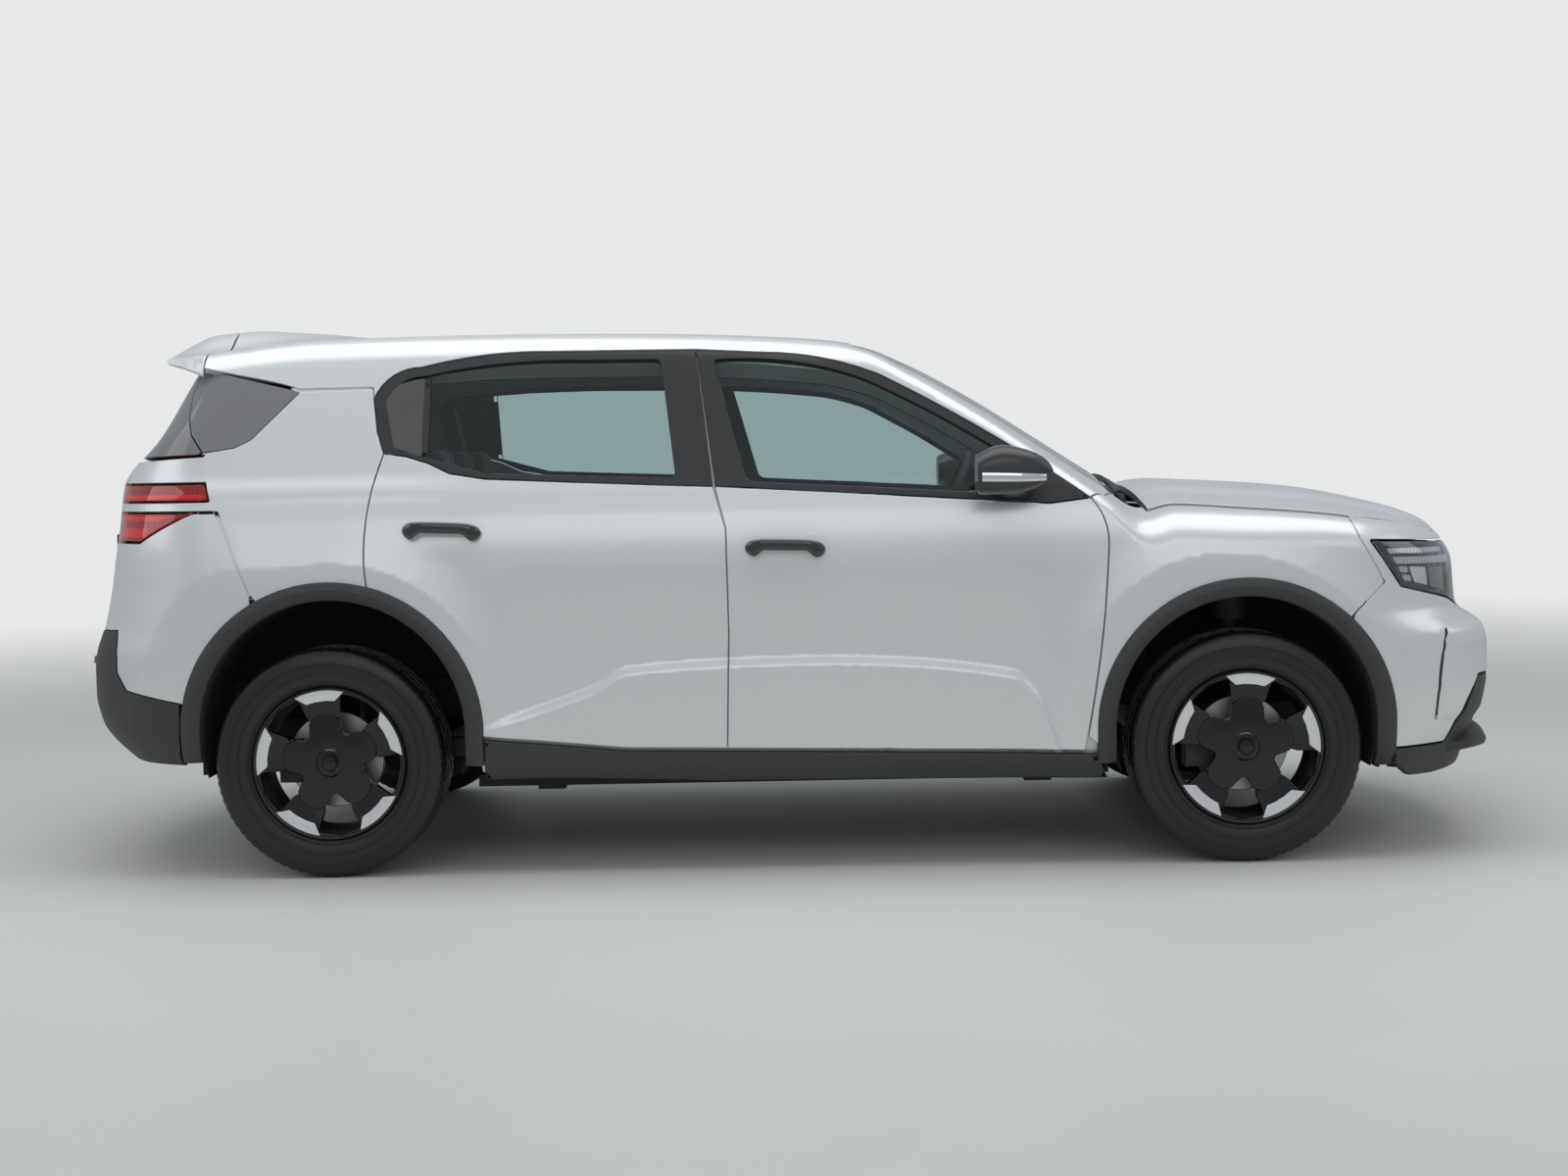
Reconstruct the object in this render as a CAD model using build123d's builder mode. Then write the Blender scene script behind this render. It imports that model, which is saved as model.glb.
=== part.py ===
from build123d import *
import math
import os

# Compact crossover, five doors, left-hand drive.
# Millimetres. While it is drawn, x = 0 is mid-wheelbase, y = 0 the centre line, z = 0 the ground.
# +X is forward and +Y is the car's left. save() moves x so that the origin is under the middle.

# ---- driving dimensions -----------------------------------------------------------------------
wheelbase = 2670
nose_tip = 2200
tail_tip = -2185
centre_shift = -(nose_tip + tail_tip) / 2
tyre_radius = 337
tyre_width = 215
rim_radius = 222
track_half = 765
kingpin_y = 735
front_axle_x = wheelbase / 2
rear_axle_x = -wheelbase / 2

shut_gap = 6
skin = 18
door_depth = 98
frame_depth = 45
wall = 110
glass_out, glass_in = 3, 8
belt_z = 1088
plate_half = 262

side_bow = 60000
end_bow = 2000
front_corner, rear_corner = 230, 250

front_arch = (1335, 398)
rear_arch = (-1322, 426)
arch_trim_out = (434, 443)
arch_trim_in = (378, 388)
liner_in = 392
liner_out = 402
liner_y = 480
trim_proud = 20

# Height, half width, tail and nose of the body at the centre line, level by level.
levels = [
    (215, 800, -1850, 1900),
    (330, 866, -2060, 2135),
    (450, 874, -2165, 2180),
    (560, 880, tail_tip, nose_tip - 5),
    (650, 884, -2176, 2180),
    (730, 885, -2150, 2105),
    (860, 884, -2122, 2092),
    (940, 880, -2110, 2070),
    (1030, 864, -2095, 2045),
    (1100, 838, -2086, 2020),
    (1160, 808, -2076, 2000),
    (1300, 752, -1960, 2000),
    (1450, 690, -1866, 2000),
    (1660, 594, -1740, 2000),
]

# Place along the car, height on the centre line and drop at 1 m out: bonnet, windscreen and roof.
crown = [
    (-2300, 1510, 70),
    (-1700, 1577, 70),
    (-1395, 1606, 70),
    (-880, 1611, 70),
    (-345, 1602, 70),
    (-50, 1589, 75),
    (154, 1574, 85),
    (260, 1556, 110),
    (387, 1505, 140),
    (577, 1402, 150),
    (788, 1268, 150),
    (946, 1165, 150),
    (1060, 1090, 140),
    (1150, 1103, 120),
    (1339, 1094, 120),
    (1620, 1071, 120),
    (1854, 1024, 120),
    (2000, 978, 120),
    (2070, 935, 120),
    (2300, 800, 120),
]

SIDE = Plane.XZ  # drawn as (x, z); it is extruded towards the car's right, -Y
REAR = Plane.YZ  # drawn as (y, z); it is extruded forward, +X
TOP = Plane.XY  # drawn as (x, y)


def sagitta(radius, half_chord):
    return radius - math.sqrt(radius**2 - half_chord**2)


def body_corner(end_x, half, inset, direction):
    """Where a bowed end meets the bowed side, at one level."""
    x, y = end_x, half
    for _ in range(8):
        x = end_x - direction * sagitta(end_bow - inset, y)
        y = half - sagitta(side_bow - inset, x)
    return x, y


def envelope(inset):
    """The body's outer form, moved in by inset on every side."""
    with BuildPart() as plan_form:
        for height, half_width, tail_x, nose_x in levels:
            half = half_width - inset
            nose = nose_x - inset
            tail = tail_x + inset
            low = inset if height == levels[0][0] else 0
            with BuildSketch(TOP.offset(height + low)):
                nx, ny = body_corner(nose, half, inset, 1)
                tx, ty = body_corner(tail, half, inset, -1)
                with BuildLine():
                    ThreePointArc((nx, -ny), (nose, 0), (nx, ny))
                    ThreePointArc((nx, ny), (0, half), (tx, ty))
                    ThreePointArc((tx, ty), (tail, 0), (tx, -ty))
                    ThreePointArc((tx, -ty), (0, -half), (nx, -ny))
                outline = make_face()
                corners = outline.vertices().sort_by(Axis.X)
                fillet(corners[:2], rear_corner - inset)
                fillet(corners[2:], front_corner - inset)
        loft(ruled=True)
    with BuildPart() as crown_form:
        for x, height, drop in crown:
            top = height - inset
            with BuildSketch(REAR.offset(x)):
                with BuildLine():
                    ThreePointArc((-1000, top - drop), (0, top), (1000, top - drop))
                    Polyline((1000, top - drop), (1000, 100), (-1000, 100), (-1000, top - drop))
                make_face()
        loft(ruled=True)
    with BuildPart() as form:
        add(plan_form.part)
        add(crown_form.part, mode=Mode.INTERSECT)
    return form.part


def box_part(x_from, x_to, y_from, y_to, z_from, z_to):
    """A plain box between limits."""
    with BuildPart() as box:
        with BuildSketch(TOP.offset(z_from)):
            with Locations(((x_from + x_to) / 2, (y_from + y_to) / 2)):
                Rectangle(x_to - x_from, y_to - y_from)
        extrude(amount=z_to - z_from)
    return box.part


made_forms = {}
made_shells = {}


def form(inset, right_only=False):
    """The body's form, kept once made; right_only keeps the half on the car's right."""
    key = (inset, right_only)
    if key not in made_forms:
        if right_only:
            with BuildPart() as half:
                add(form(inset))
                add(box_part(-3000, 3000, 0, 1500, 0, 2000), mode=Mode.SUBTRACT)
            made_forms[key] = half.part
        else:
            made_forms[key] = envelope(inset)
    return made_forms[key]


def shell(outer, inner, right_only=True):
    """The layer of the body between two depths."""
    key = (outer, inner, right_only)
    if key not in made_shells:
        with BuildPart() as layer:
            add(form(outer, right_only))
            add(form(inner, right_only), mode=Mode.SUBTRACT)
        made_shells[key] = layer.part
    return made_shells[key]


def side_cut(outline, near=0, far=1100, both=False):
    """A block with an outline in side view, on the right side or across the whole car."""
    with BuildPart() as block:
        extrude(outline, amount=far)
        if both:
            mirror(about=Plane.XZ)
        elif near:
            add(box_part(-3000, 3000, -near, 0, -100, 2400), mode=Mode.SUBTRACT)
    return block.part


def side_polygon(*points):
    with BuildSketch(SIDE) as outline:
        with BuildLine():
            Polyline(*points, close=True)
        make_face()
    return outline.sketch


def circle_cut(centre, radius, near, far):
    """A cylinder across the right side of the car, drawn in side view."""
    with BuildPart() as cylinder:
        with BuildSketch(SIDE.offset(near)):
            with Locations(centre):
                Circle(radius)
        extrude(amount=far - near)
    return cylinder.part


def save(part, name):
    placed = part.moved(Location((centre_shift, 0, 0)))
    placed.label = name
    export_step(placed, f"parts/{name}.step")


def save_pair(part, name):
    """One node that holds the right-hand piece and its mirror image."""
    with BuildPart() as pair:
        add(part)
        mirror(about=Plane.XZ)
    save(pair.part, name)


def save_sides(part, right_name, left_name):
    """Two nodes, the right-hand piece and its mirror image."""
    with BuildPart() as left:
        add(part)
        mirror(about=Plane.XZ, mode=Mode.REPLACE)
    save(part, right_name)
    save(left.part, left_name)


os.makedirs("parts", exist_ok=True)


# ---- outlines in side view --------------------------------------------------------------------
def front_door_outline(grow=0):
    with BuildSketch(SIDE) as outline:
        with BuildLine():
            ThreePointArc((866, 337), (921, 700), (941, 935))
            ThreePointArc((941, 935), (930, 1008), (893, 1070))
            ThreePointArc((893, 1070), (590, 1275), (290, 1445))
            ThreePointArc((290, 1445), (140, 1493), (-60, 1517))
            Polyline((-60, 1517), (-250, 1529), (-199, 1122), (-163, 1000), (-160, 700), (-171, 362), (866, 337))
        make_face()
        offset(amount=grow - shut_gap / 2, kind=Kind.INTERSECTION, mode=Mode.REPLACE)
    return outline.sketch


def rear_door_outline(grow=0):
    with BuildSketch(SIDE) as outline:
        with BuildLine():
            Polyline((-171, 362), (-160, 700), (-163, 1000), (-199, 1122), (-250, 1529), (-687, 1532))
            ThreePointArc((-687, 1532), (-903, 1522), (-1066, 1492))
            ThreePointArc((-1066, 1492), (-1165, 1456), (-1203, 1400))
            Polyline((-1203, 1400), (-1188, 1300), (-1166, 1236))
            ThreePointArc((-1166, 1236), (-1197, 1120), (-1204, 850))
            ThreePointArc((-1204, 850), (-1009, 737), (-881, 410))
            Polyline((-881, 410), (-740, 395), (-464, 368), (-171, 362))
        make_face()
        offset(amount=grow - shut_gap / 2, kind=Kind.INTERSECTION, mode=Mode.REPLACE)
    return outline.sketch


def front_window_outline():
    with BuildSketch(SIDE) as outline:
        with BuildLine():
            Polyline((-100, 1137), (575, 1092), (640, 1208))
            ThreePointArc((640, 1208), (431, 1335), (241, 1432))
            ThreePointArc((241, 1432), (97, 1475), (-196, 1495))
            Line((-196, 1495), (-100, 1137))
        make_face()
    return outline.sketch


def rear_window_outline():
    with BuildSketch(SIDE) as outline:
        with BuildLine():
            Polyline((-310, 1150), (-868, 1175), (-1135, 1250), (-1165, 1390))
            ThreePointArc((-1165, 1390), (-1135, 1434), (-1062, 1462))
            ThreePointArc((-1062, 1462), (-848, 1495), (-580, 1502))
            Polyline((-580, 1502), (-355, 1500), (-310, 1150))
        make_face()
    return outline.sketch


front_core = [(840, 372), (905, 900), (880, 1040), (860, belt_z), (-80, belt_z), (-80, 395)]
rear_core = [(-255, 395), (-255, belt_z), (-1140, belt_z), (-1150, 890), (-990, 790), (-850, 560), (-845, 430)]
front_core_gap = [(848, 364), (913, 900), (888, 1043), (868, 1120), (-88, 1120), (-88, 387)]
rear_core_gap = [(-247, 387), (-247, 1120), (-1148, 1120), (-1158, 885), (-998, 783), (-858, 556), (-853, 422)]


# ---- doors ------------------------------------------------------------------------------------
def door_part(outline, frame_core, core, window):
    """Outer flange over the whole outline, a deep box below the belt and a frame round the window."""
    with BuildPart() as door:
        add(shell(0, skin))
        add(side_cut(outline), mode=Mode.INTERSECT)
    with BuildPart() as lower_core:
        add(shell(skin, door_depth))
        add(side_cut(core), mode=Mode.INTERSECT)
    with BuildPart() as upper_core:
        add(shell(skin, frame_depth))
        add(side_cut(frame_core), mode=Mode.INTERSECT)
        add(box_part(-2500, 2500, -1100, 0, 0, belt_z), mode=Mode.SUBTRACT)
    with BuildPart() as whole:
        add(door.part)
        add(lower_core.part)
        add(upper_core.part)
        add(side_cut(window), mode=Mode.SUBTRACT)
    return whole.part


def door_glass(window):
    with BuildPart() as pane:
        add(shell(glass_out + 7, glass_in + 7))
        add(side_cut(window), mode=Mode.INTERSECT)
    return pane.part


def pull_handle(x_from, x_to, z_from, z_to, foot_end):
    """A bar handle on two feet, standing off the door skin; the feet end within the skin."""
    with BuildPart() as handle:
        add(box_part(x_from, x_to, -916, -898, z_from, z_to))
        add(box_part(x_from, x_from + 32, -900, foot_end, z_from, z_to))
        add(box_part(x_to - 32, x_to, -900, foot_end, z_from, z_to))
        long_edges = handle.edges().filter_by(Axis.X).group_by(Axis.Y)[0]
        fillet(long_edges, 7)
    return handle.part


front_door = door_part(
    front_door_outline(), front_door_outline(-22), side_polygon(*front_core), front_window_outline()
)
rear_door = door_part(
    rear_door_outline(), rear_door_outline(-22), side_polygon(*rear_core), rear_window_outline()
)
with BuildPart() as front_door_with_handle:
    add(front_door)
    add(pull_handle(-108, 124, 915, 965, -866))
with BuildPart() as rear_door_with_handle:
    add(rear_door)
    add(pull_handle(-1100, -870, 981, 1031, -850))

save_sides(front_door_with_handle.part, "front_right_door", "front_left_door")
save_sides(rear_door_with_handle.part, "rear_right_door", "rear_left_door")
save_sides(door_glass(front_window_outline()), "front_right_glass", "front_left_glass")
save_sides(door_glass(rear_window_outline()), "rear_right_glass", "rear_left_glass")

# Door mirror: a housing on a foot that stands on the corner of the front door.
with BuildPart() as mirror_unit:
    with BuildSketch(SIDE.offset(862)):
        with BuildLine():
            Polyline((560, 1080), (575, 1215), (650, 1232), (770, 1190), (765, 1110), (690, 1070), close=True)
        make_face()
    extrude(amount=147)
    fillet(mirror_unit.edges().filter_by(Axis.Y), 22)
    add(box_part(620, 720, -875, -790, 1084, 1120))
with BuildPart() as mirror_clear:
    add(mirror_unit.part)
    add(form(0), mode=Mode.SUBTRACT)
save_sides(mirror_clear.part, "right_mirror", "left_mirror")


# ---- tailgate ---------------------------------------------------------------------------------
def rear_view_cut(points, x_from, x_to):
    """A block with a symmetric outline in rear view; points run down its left edge."""
    mirrored = [(-y, z) for y, z in reversed(points)]
    with BuildPart() as block_part:
        with BuildSketch(REAR.offset(x_from)):
            with BuildLine():
                Polyline(*points, *mirrored, close=True)
            make_face()
        extrude(amount=x_to - x_from)
    return block_part.part


def tailgate_edge(grow):
    return [
        (585 + grow, 1640),
        (655 + grow, 1500),
        (725 + grow, 1230),
        (725 + grow, 1168 - grow),
        (560 + grow, 1160 - grow),
        (545 + grow, 760 - grow),
    ]


tailgate_front_x = -1700
spoiler_tip = -1935
rear_glass_edge = [(565, 1505), (668, 1225), (640, 1190)]
rear_window_edge = [(535, 1480), (630, 1240), (610, 1220)]
glass_back = glass_in + 2
with BuildPart() as rear_glass_recess:
    add(rear_view_cut(rear_glass_edge, -2400, tailgate_front_x - 60))
    add(form(glass_back), mode=Mode.SUBTRACT)


def roof_ridge(stations):
    """The raised middle of the roof's rear end; stations run as (x, height)."""
    with BuildPart() as ridge:
        for x, top in stations:
            with BuildSketch(REAR.offset(x)):
                with BuildLine():
                    Polyline((-430, 1552), (-290, top), (290, top), (430, 1552), close=True)
                make_face()
        loft(ruled=True)
    return ridge.part


with BuildPart() as spoiler_plan:
    with BuildSketch(TOP.offset(1400)):
        with BuildLine():
            tip_x = spoiler_tip + sagitta(end_bow, 590)
            ThreePointArc((tip_x, -590), (spoiler_tip, 0), (tip_x, 590))
            Polyline((tip_x, 590), (-1600, 590), (-1600, -590), (tip_x, -590))
        make_face()
    extrude(amount=300)
tailgate_top_x = tailgate_front_x - shut_gap
with BuildPart() as spoiler:
    with BuildSketch(SIDE):
        with BuildLine():
            Polyline(
                (tailgate_top_x, 1576), (spoiler_tip, 1560), (spoiler_tip, 1546), (-1850, 1524),
                (tailgate_top_x, 1515), close=True,
            )
        make_face()
    extrude(amount=575, both=True)
    add(roof_ridge([(tailgate_top_x, 1636), (-1770, 1629), (-1850, 1598), (-1900, 1562)]))
    add(spoiler_plan.part, mode=Mode.INTERSECT)
with BuildPart() as tailgate:
    add(shell(0, 60, False))
    add(rear_view_cut(tailgate_edge(0), -2400, tailgate_front_x - shut_gap), mode=Mode.INTERSECT)
    add(spoiler.part)
    add(box_part(-2127, -2060, -plate_half, plate_half, 880, 1000))
    add(rear_view_cut(rear_window_edge, -2400, tailgate_front_x - 60), mode=Mode.SUBTRACT)
    add(rear_glass_recess.part, mode=Mode.SUBTRACT)
save(tailgate.part, "tailgate")
with BuildPart() as tailgate_glass:
    add(shell(glass_out, glass_in, False))
    add(rear_view_cut(rear_glass_edge, -2400, tailgate_front_x - 60), mode=Mode.INTERSECT)
    add(tailgate.part, mode=Mode.SUBTRACT)
save(tailgate_glass.part, "tailgate_glass")


# ---- outlines of the fixed outer panels, in side view ------------------------------------------
bonnet_line = [(1680, 997), (1881, 968), (2000, 944), (2240, 925)]
below_bonnet = [(x, z - shut_gap) for x, z in bonnet_line]
wing_split = [(1731, 806), (1661, 934), (1645, 991)]
lamp_band = [
    (1693, 932), (1935, 922), (2240, 897), (2240, 697), (2070, 697), (1956, 752), (1789, 793),
]
front_bumper_edge = [
    (1660, 741), (1737, 806), (1667, 936), (1651, 991), *below_bonnet, (2240, 526), (2050, 526),
    (1931, 331), (1730, 331),
]
front_lower_edge = [(1740, 327), (1933, 327), (2053, 522), (2240, 522), (2240, 190), (1740, 190)]
rear_bumper_edge = [
    (-2300, 1070), (-1639, 1070), (-1545, 835), (-1690, 517), (-1760, 522), (-1939, 555),
    (-1973, 605), (-1979, 734), (-2060, 716), (-2300, 702),
]
rear_lower_edge = [
    (-1690, 513), (-1760, 518), (-1942, 551), (-1977, 603), (-1983, 729), (-2060, 712), (-2300, 698),
    (-2300, 240), (-1690, 240),
]
upper_tail_lamp = [(-2300, 1159), (-1691, 1159), (-1673, 1108), (-2300, 1108)]
lower_tail_lamp = [(-2300, 1075), (-1716, 1075), (-1894, 990), (-2300, 990)]
sill_edge = [
    (-879, 402), (-740, 387), (-464, 360), (-171, 354), (866, 329), (899, 329), (936, 250),
    (-192, 262), (-583, 276), (-879, 280),
]
quarter_glass_edge = [
    (-1990, 1222), (-1875, 1232), (-1688, 1251), (-1610, 1262), (-1565, 1284), (-1424, 1424),
    (-1719, 1497), (-1990, 1560),
]
quarter_window_edge = [(-1780, 1268), (-1625, 1284), (-1580, 1306), (-1475, 1412), (-1700, 1465), (-1780, 1465)]


def skin_panel(edge, depth=skin, both=True):
    """A panel of the body's skin with an outline in side view."""
    with BuildPart() as panel:
        add(shell(0, depth, not both))
        add(side_cut(side_polygon(*edge), both=both), mode=Mode.INTERSECT)
    return panel.part


def layer_cut(cutter, depth):
    """A cutter on the right side that only reaches down to a depth under the skin."""
    with BuildPart() as cut:
        add(cutter)
        add(form(depth, True), mode=Mode.SUBTRACT)
    return cut.part


def centre_prism(edge_y):
    """Roof and windscreen opening in plan, across the car."""
    x_rear, x_front = tailgate_front_x, 1200
    with BuildPart() as prism:
        with BuildSketch(TOP.offset(900)):
            with BuildLine():
                Polyline(
                    (x_rear, -edge_y), (215, -edge_y), (985, -edge_y - 95), (x_front, -edge_y - 95),
                    (x_front, edge_y + 95), (985, edge_y + 95), (215, edge_y), (x_rear, edge_y), close=True,
                )
            make_face()
        extrude(amount=900)
    return prism.part


# ---- body shell --------------------------------------------------------------------------------
roof_edge_y = 565
door_recess = 24
tailgate_recess = 66
lamp_depth = 50
with BuildPart() as body_side:
    add(shell(0, wall))
    add(side_cut(side_polygon((-2300, 1700), (985, 1700), (985, 270), (-2300, 270))), mode=Mode.INTERSECT)
    add(box_part(-2400, 1100, -560, 0, 200, 1480), mode=Mode.SUBTRACT)
    add(box_part(-905, 1100, -752, 0, 200, 900), mode=Mode.SUBTRACT)
    add(centre_prism(roof_edge_y), mode=Mode.SUBTRACT)
    for outline in (front_door_outline(6), rear_door_outline(6)):
        add(layer_cut(side_cut(outline), door_recess), mode=Mode.SUBTRACT)
    for core in (front_core_gap, rear_core_gap):
        add(side_cut(side_polygon(*core)), mode=Mode.SUBTRACT)
    for outline in (front_door_outline(-16), rear_door_outline(-16)):
        with BuildPart(mode=Mode.PRIVATE) as frame_hole:
            add(side_cut(outline))
            add(box_part(-2500, 2500, -1200, 0, 0, belt_z - shut_gap), mode=Mode.SUBTRACT)
        add(frame_hole.part, mode=Mode.SUBTRACT)
    add(layer_cut(box_part(860, 1000, -1100, 0, 200, 1078), door_recess), mode=Mode.SUBTRACT)
    for arch in (front_arch, rear_arch):
        add(circle_cut(arch, liner_out, 400, 1100), mode=Mode.SUBTRACT)
    add(box_part(front_arch[0] - liner_out, 1100, -1100, 0, 200, front_arch[1]), mode=Mode.SUBTRACT)
    add(layer_cut(circle_cut(rear_arch, arch_trim_out[1], 600, 1100), 45), mode=Mode.SUBTRACT)
    add(box_part(-1800, -905, -1100, 0, 200, rear_arch[1]), mode=Mode.SUBTRACT)
    add(layer_cut(side_cut(side_polygon(*rear_bumper_edge)), 30), mode=Mode.SUBTRACT)
    add(box_part(-2400, -1700, -1100, 0, 200, 735), mode=Mode.SUBTRACT)
    for lamp in (upper_tail_lamp, lower_tail_lamp):
        add(layer_cut(side_cut(side_polygon(*lamp)), lamp_depth + 2), mode=Mode.SUBTRACT)
    add(layer_cut(side_cut(side_polygon(*sill_edge)), 42), mode=Mode.SUBTRACT)
    rear_opening = rear_view_cut(tailgate_edge(shut_gap), -2500, tailgate_front_x)
    add(layer_cut(rear_opening, tailgate_recess), mode=Mode.SUBTRACT)
    add(rear_view_cut(tailgate_edge(-45), -2500, -1650), mode=Mode.SUBTRACT)
    add(layer_cut(side_cut(side_polygon(*quarter_glass_edge)), glass_back), mode=Mode.SUBTRACT)
    add(side_cut(side_polygon(*quarter_window_edge)), mode=Mode.SUBTRACT)
save_pair(body_side.part, "body_sides")

with BuildPart() as roof_panel:
    add(shell(0, 25, False))
    add(box_part(tailgate_front_x, 215, -roof_edge_y, roof_edge_y, 900, 1800), mode=Mode.INTERSECT)
    add(roof_ridge([(tailgate_front_x, 1636), (-1640, 1639), (-1500, 1627), (-1300, 1606)]))
    add(form(25), mode=Mode.SUBTRACT)
save(roof_panel.part, "roof_panel")

with BuildPart() as quarter_glass:
    add(shell(glass_out, glass_in))
    add(side_cut(side_polygon(*quarter_glass_edge)), mode=Mode.INTERSECT)
    add(rear_opening, mode=Mode.SUBTRACT)
with BuildPart() as fixed_glass:
    add(shell(glass_out, glass_in, False))
    add(centre_prism(roof_edge_y), mode=Mode.INTERSECT)
    add(box_part(-2500, 218, -1000, 1000, 800, 1700), mode=Mode.SUBTRACT)
    add(box_part(985, 2500, -1000, 1000, 800, 1700), mode=Mode.SUBTRACT)
    add(box_part(-2500, 2500, -1000, 1000, 0, 900), mode=Mode.SUBTRACT)
    add(quarter_glass.part)
    mirror(quarter_glass.part, about=Plane.XZ)
save(fixed_glass.part, "windscreen_and_quarter_glass")

wiper_x = 1000
with BuildPart() as wiper_blades:
    with BuildLine() as blade_path:
        ThreePointArc((wiper_x, -600, 1096), (wiper_x, 0, 1149), (wiper_x, 600, 1096))
    with BuildSketch(Plane(origin=blade_path.line @ 0, z_dir=blade_path.line % 0)):
        Circle(7)
    sweep()
    add(box_part(wiper_x - 5, wiper_x + 18, -500, -476, 1072, 1112))
    add(box_part(wiper_x - 5, wiper_x + 18, 90, 114, 1080, 1150))
with BuildPart() as scuttle:
    add(shell(0, 35, False))
    add(box_part(986, 1062, -656, 656, 900, 1200), mode=Mode.INTERSECT)
    add(wiper_blades.part)
save(scuttle.part, "scuttle_panel")

# ---- bonnet, wings and nose --------------------------------------------------------------------
with BuildPart() as bonnet:
    add(shell(0, 32, False))
    bonnet_side = side_polygon((1078, 1700), (1078, 1030), *bonnet_line, (2240, 1700))
    add(side_cut(bonnet_side, both=True), mode=Mode.INTERSECT)
save(bonnet.part, "bonnet")

wing_edge = [
    (850, 345), (1500, 345), (1660, 741), *wing_split, below_bonnet[0], (1078, 1026), (1072, 1200),
    (985, 1200), (985, 1076), (850, 1076),
]
with BuildPart() as wing:
    add(skin_panel(wing_edge, both=False))
    add(side_cut(front_door_outline(9)), mode=Mode.SUBTRACT)
    add(circle_cut(front_arch, arch_trim_out[0], 600, 1100), mode=Mode.SUBTRACT)
    add(box_part(903, 1800, -1100, 0, 200, front_arch[1]), mode=Mode.SUBTRACT)
    add(box_part(800, 2300, -664, 0, 200, 1200), mode=Mode.SUBTRACT)
save_pair(wing.part, "front_wings")

with BuildPart() as front_bumper:
    add(skin_panel(front_bumper_edge, 25))
    for near, far in ((600, 1100), (-1100, -600)):
        add(circle_cut(front_arch, arch_trim_out[0], near, far), mode=Mode.SUBTRACT)
    add(side_cut(side_polygon(*lamp_band), both=True), mode=Mode.SUBTRACT)
save(front_bumper.part, "front_bumper")

with BuildPart() as lamp_zone:
    add(shell(2, 60))
    add(side_cut(side_polygon(*lamp_band)), mode=Mode.INTERSECT)
    add(box_part(1000, 2400, -548, 0, 600, 1000), mode=Mode.SUBTRACT)
save_pair(lamp_zone.part, "headlamps")
with BuildPart() as front_panel:
    add(shell(2, 30, False))
    add(side_cut(side_polygon(*lamp_band), both=True), mode=Mode.INTERSECT)
    add(box_part(1000, 2400, -545, 545, 600, 1000), mode=Mode.INTERSECT)
save(front_panel.part, "front_panel")

with BuildPart() as lower_front:
    add(skin_panel(front_lower_edge, 25))
    with BuildSketch(TOP.offset(300)):
        with BuildLine():
            lip_y = 700
            lip_x = nose_tip - sagitta(end_bow, lip_y)
            ThreePointArc((lip_x, -lip_y), (nose_tip, 0), (lip_x, lip_y))
            Polyline((lip_x, lip_y), (lip_x - 90, lip_y), (1980, 560), (1980, -560), (lip_x - 90, -lip_y),
                     (lip_x, -lip_y))
        make_face()
    extrude(amount=32)
    add(box_part(2110, 2196, -plate_half, plate_half, 392, 512))
save(lower_front.part, "front_lower_trim")

# ---- rear bumper and lamps ---------------------------------------------------------------------
with BuildPart() as rear_bumper:
    add(skin_panel(rear_bumper_edge, 25))
    for near, far in ((600, 1100), (-1100, -600)):
        add(circle_cut(rear_arch, arch_trim_out[1], near, far), mode=Mode.SUBTRACT)
    add(side_cut(side_polygon(*lower_tail_lamp), both=True), mode=Mode.SUBTRACT)
    add(rear_view_cut(tailgate_edge(shut_gap), -2500, -1600), mode=Mode.SUBTRACT)
save(rear_bumper.part, "rear_bumper")
with BuildPart() as lower_rear:
    add(skin_panel(rear_lower_edge, 25))
    for near, far in ((600, 1100), (-1100, -600)):
        add(circle_cut(rear_arch, arch_trim_out[1], near, far), mode=Mode.SUBTRACT)
    add(box_part(-1771, -1600, -1100, 1100, 200, 520), mode=Mode.SUBTRACT)
save(lower_rear.part, "rear_lower_trim")

with BuildPart() as tail_lamps:
    for lamp in (upper_tail_lamp, lower_tail_lamp):
        with BuildPart(mode=Mode.PRIVATE) as one_lamp:
            add(shell(0, lamp_depth))
            add(side_cut(side_polygon(*lamp)), mode=Mode.INTERSECT)
            add(rear_opening, mode=Mode.SUBTRACT)
        add(one_lamp.part)
save_pair(tail_lamps.part, "tail_lamps")

# ---- black side cladding -----------------------------------------------------------------------
with BuildPart() as arch_trims:
    arches = (
        (front_arch, arch_trim_out[0], arch_trim_in[0], 300, 300),
        (rear_arch, arch_trim_out[1], arch_trim_in[1], 300, 350),
    )
    for centre, outer, inner, foot_rear, foot_front in arches:
        x, z = centre
        with BuildPart(mode=Mode.PRIVATE) as band:
            with BuildSketch(SIDE.offset(790)):
                with Locations(centre):
                    Circle(outer)
                with Locations((x, z - 80)):
                    Rectangle(2 * outer, 160)
                with Locations(centre):
                    Circle(inner, mode=Mode.SUBTRACT)
                with Locations((x, z - 300)):
                    Rectangle(2 * inner, 600, mode=Mode.SUBTRACT)
                with Locations((x, z - 100 - 300)):
                    Rectangle(2 * outer, 600, mode=Mode.SUBTRACT)
            extrude(amount=200)
            add(form(-trim_proud, True), mode=Mode.INTERSECT)
            with BuildPart(mode=Mode.PRIVATE) as core:
                add(form(0, True))
                add(circle_cut(centre, liner_out - 2, 700, 1100), mode=Mode.SUBTRACT)
            add(core.part, mode=Mode.SUBTRACT)
        add(band.part)

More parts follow.
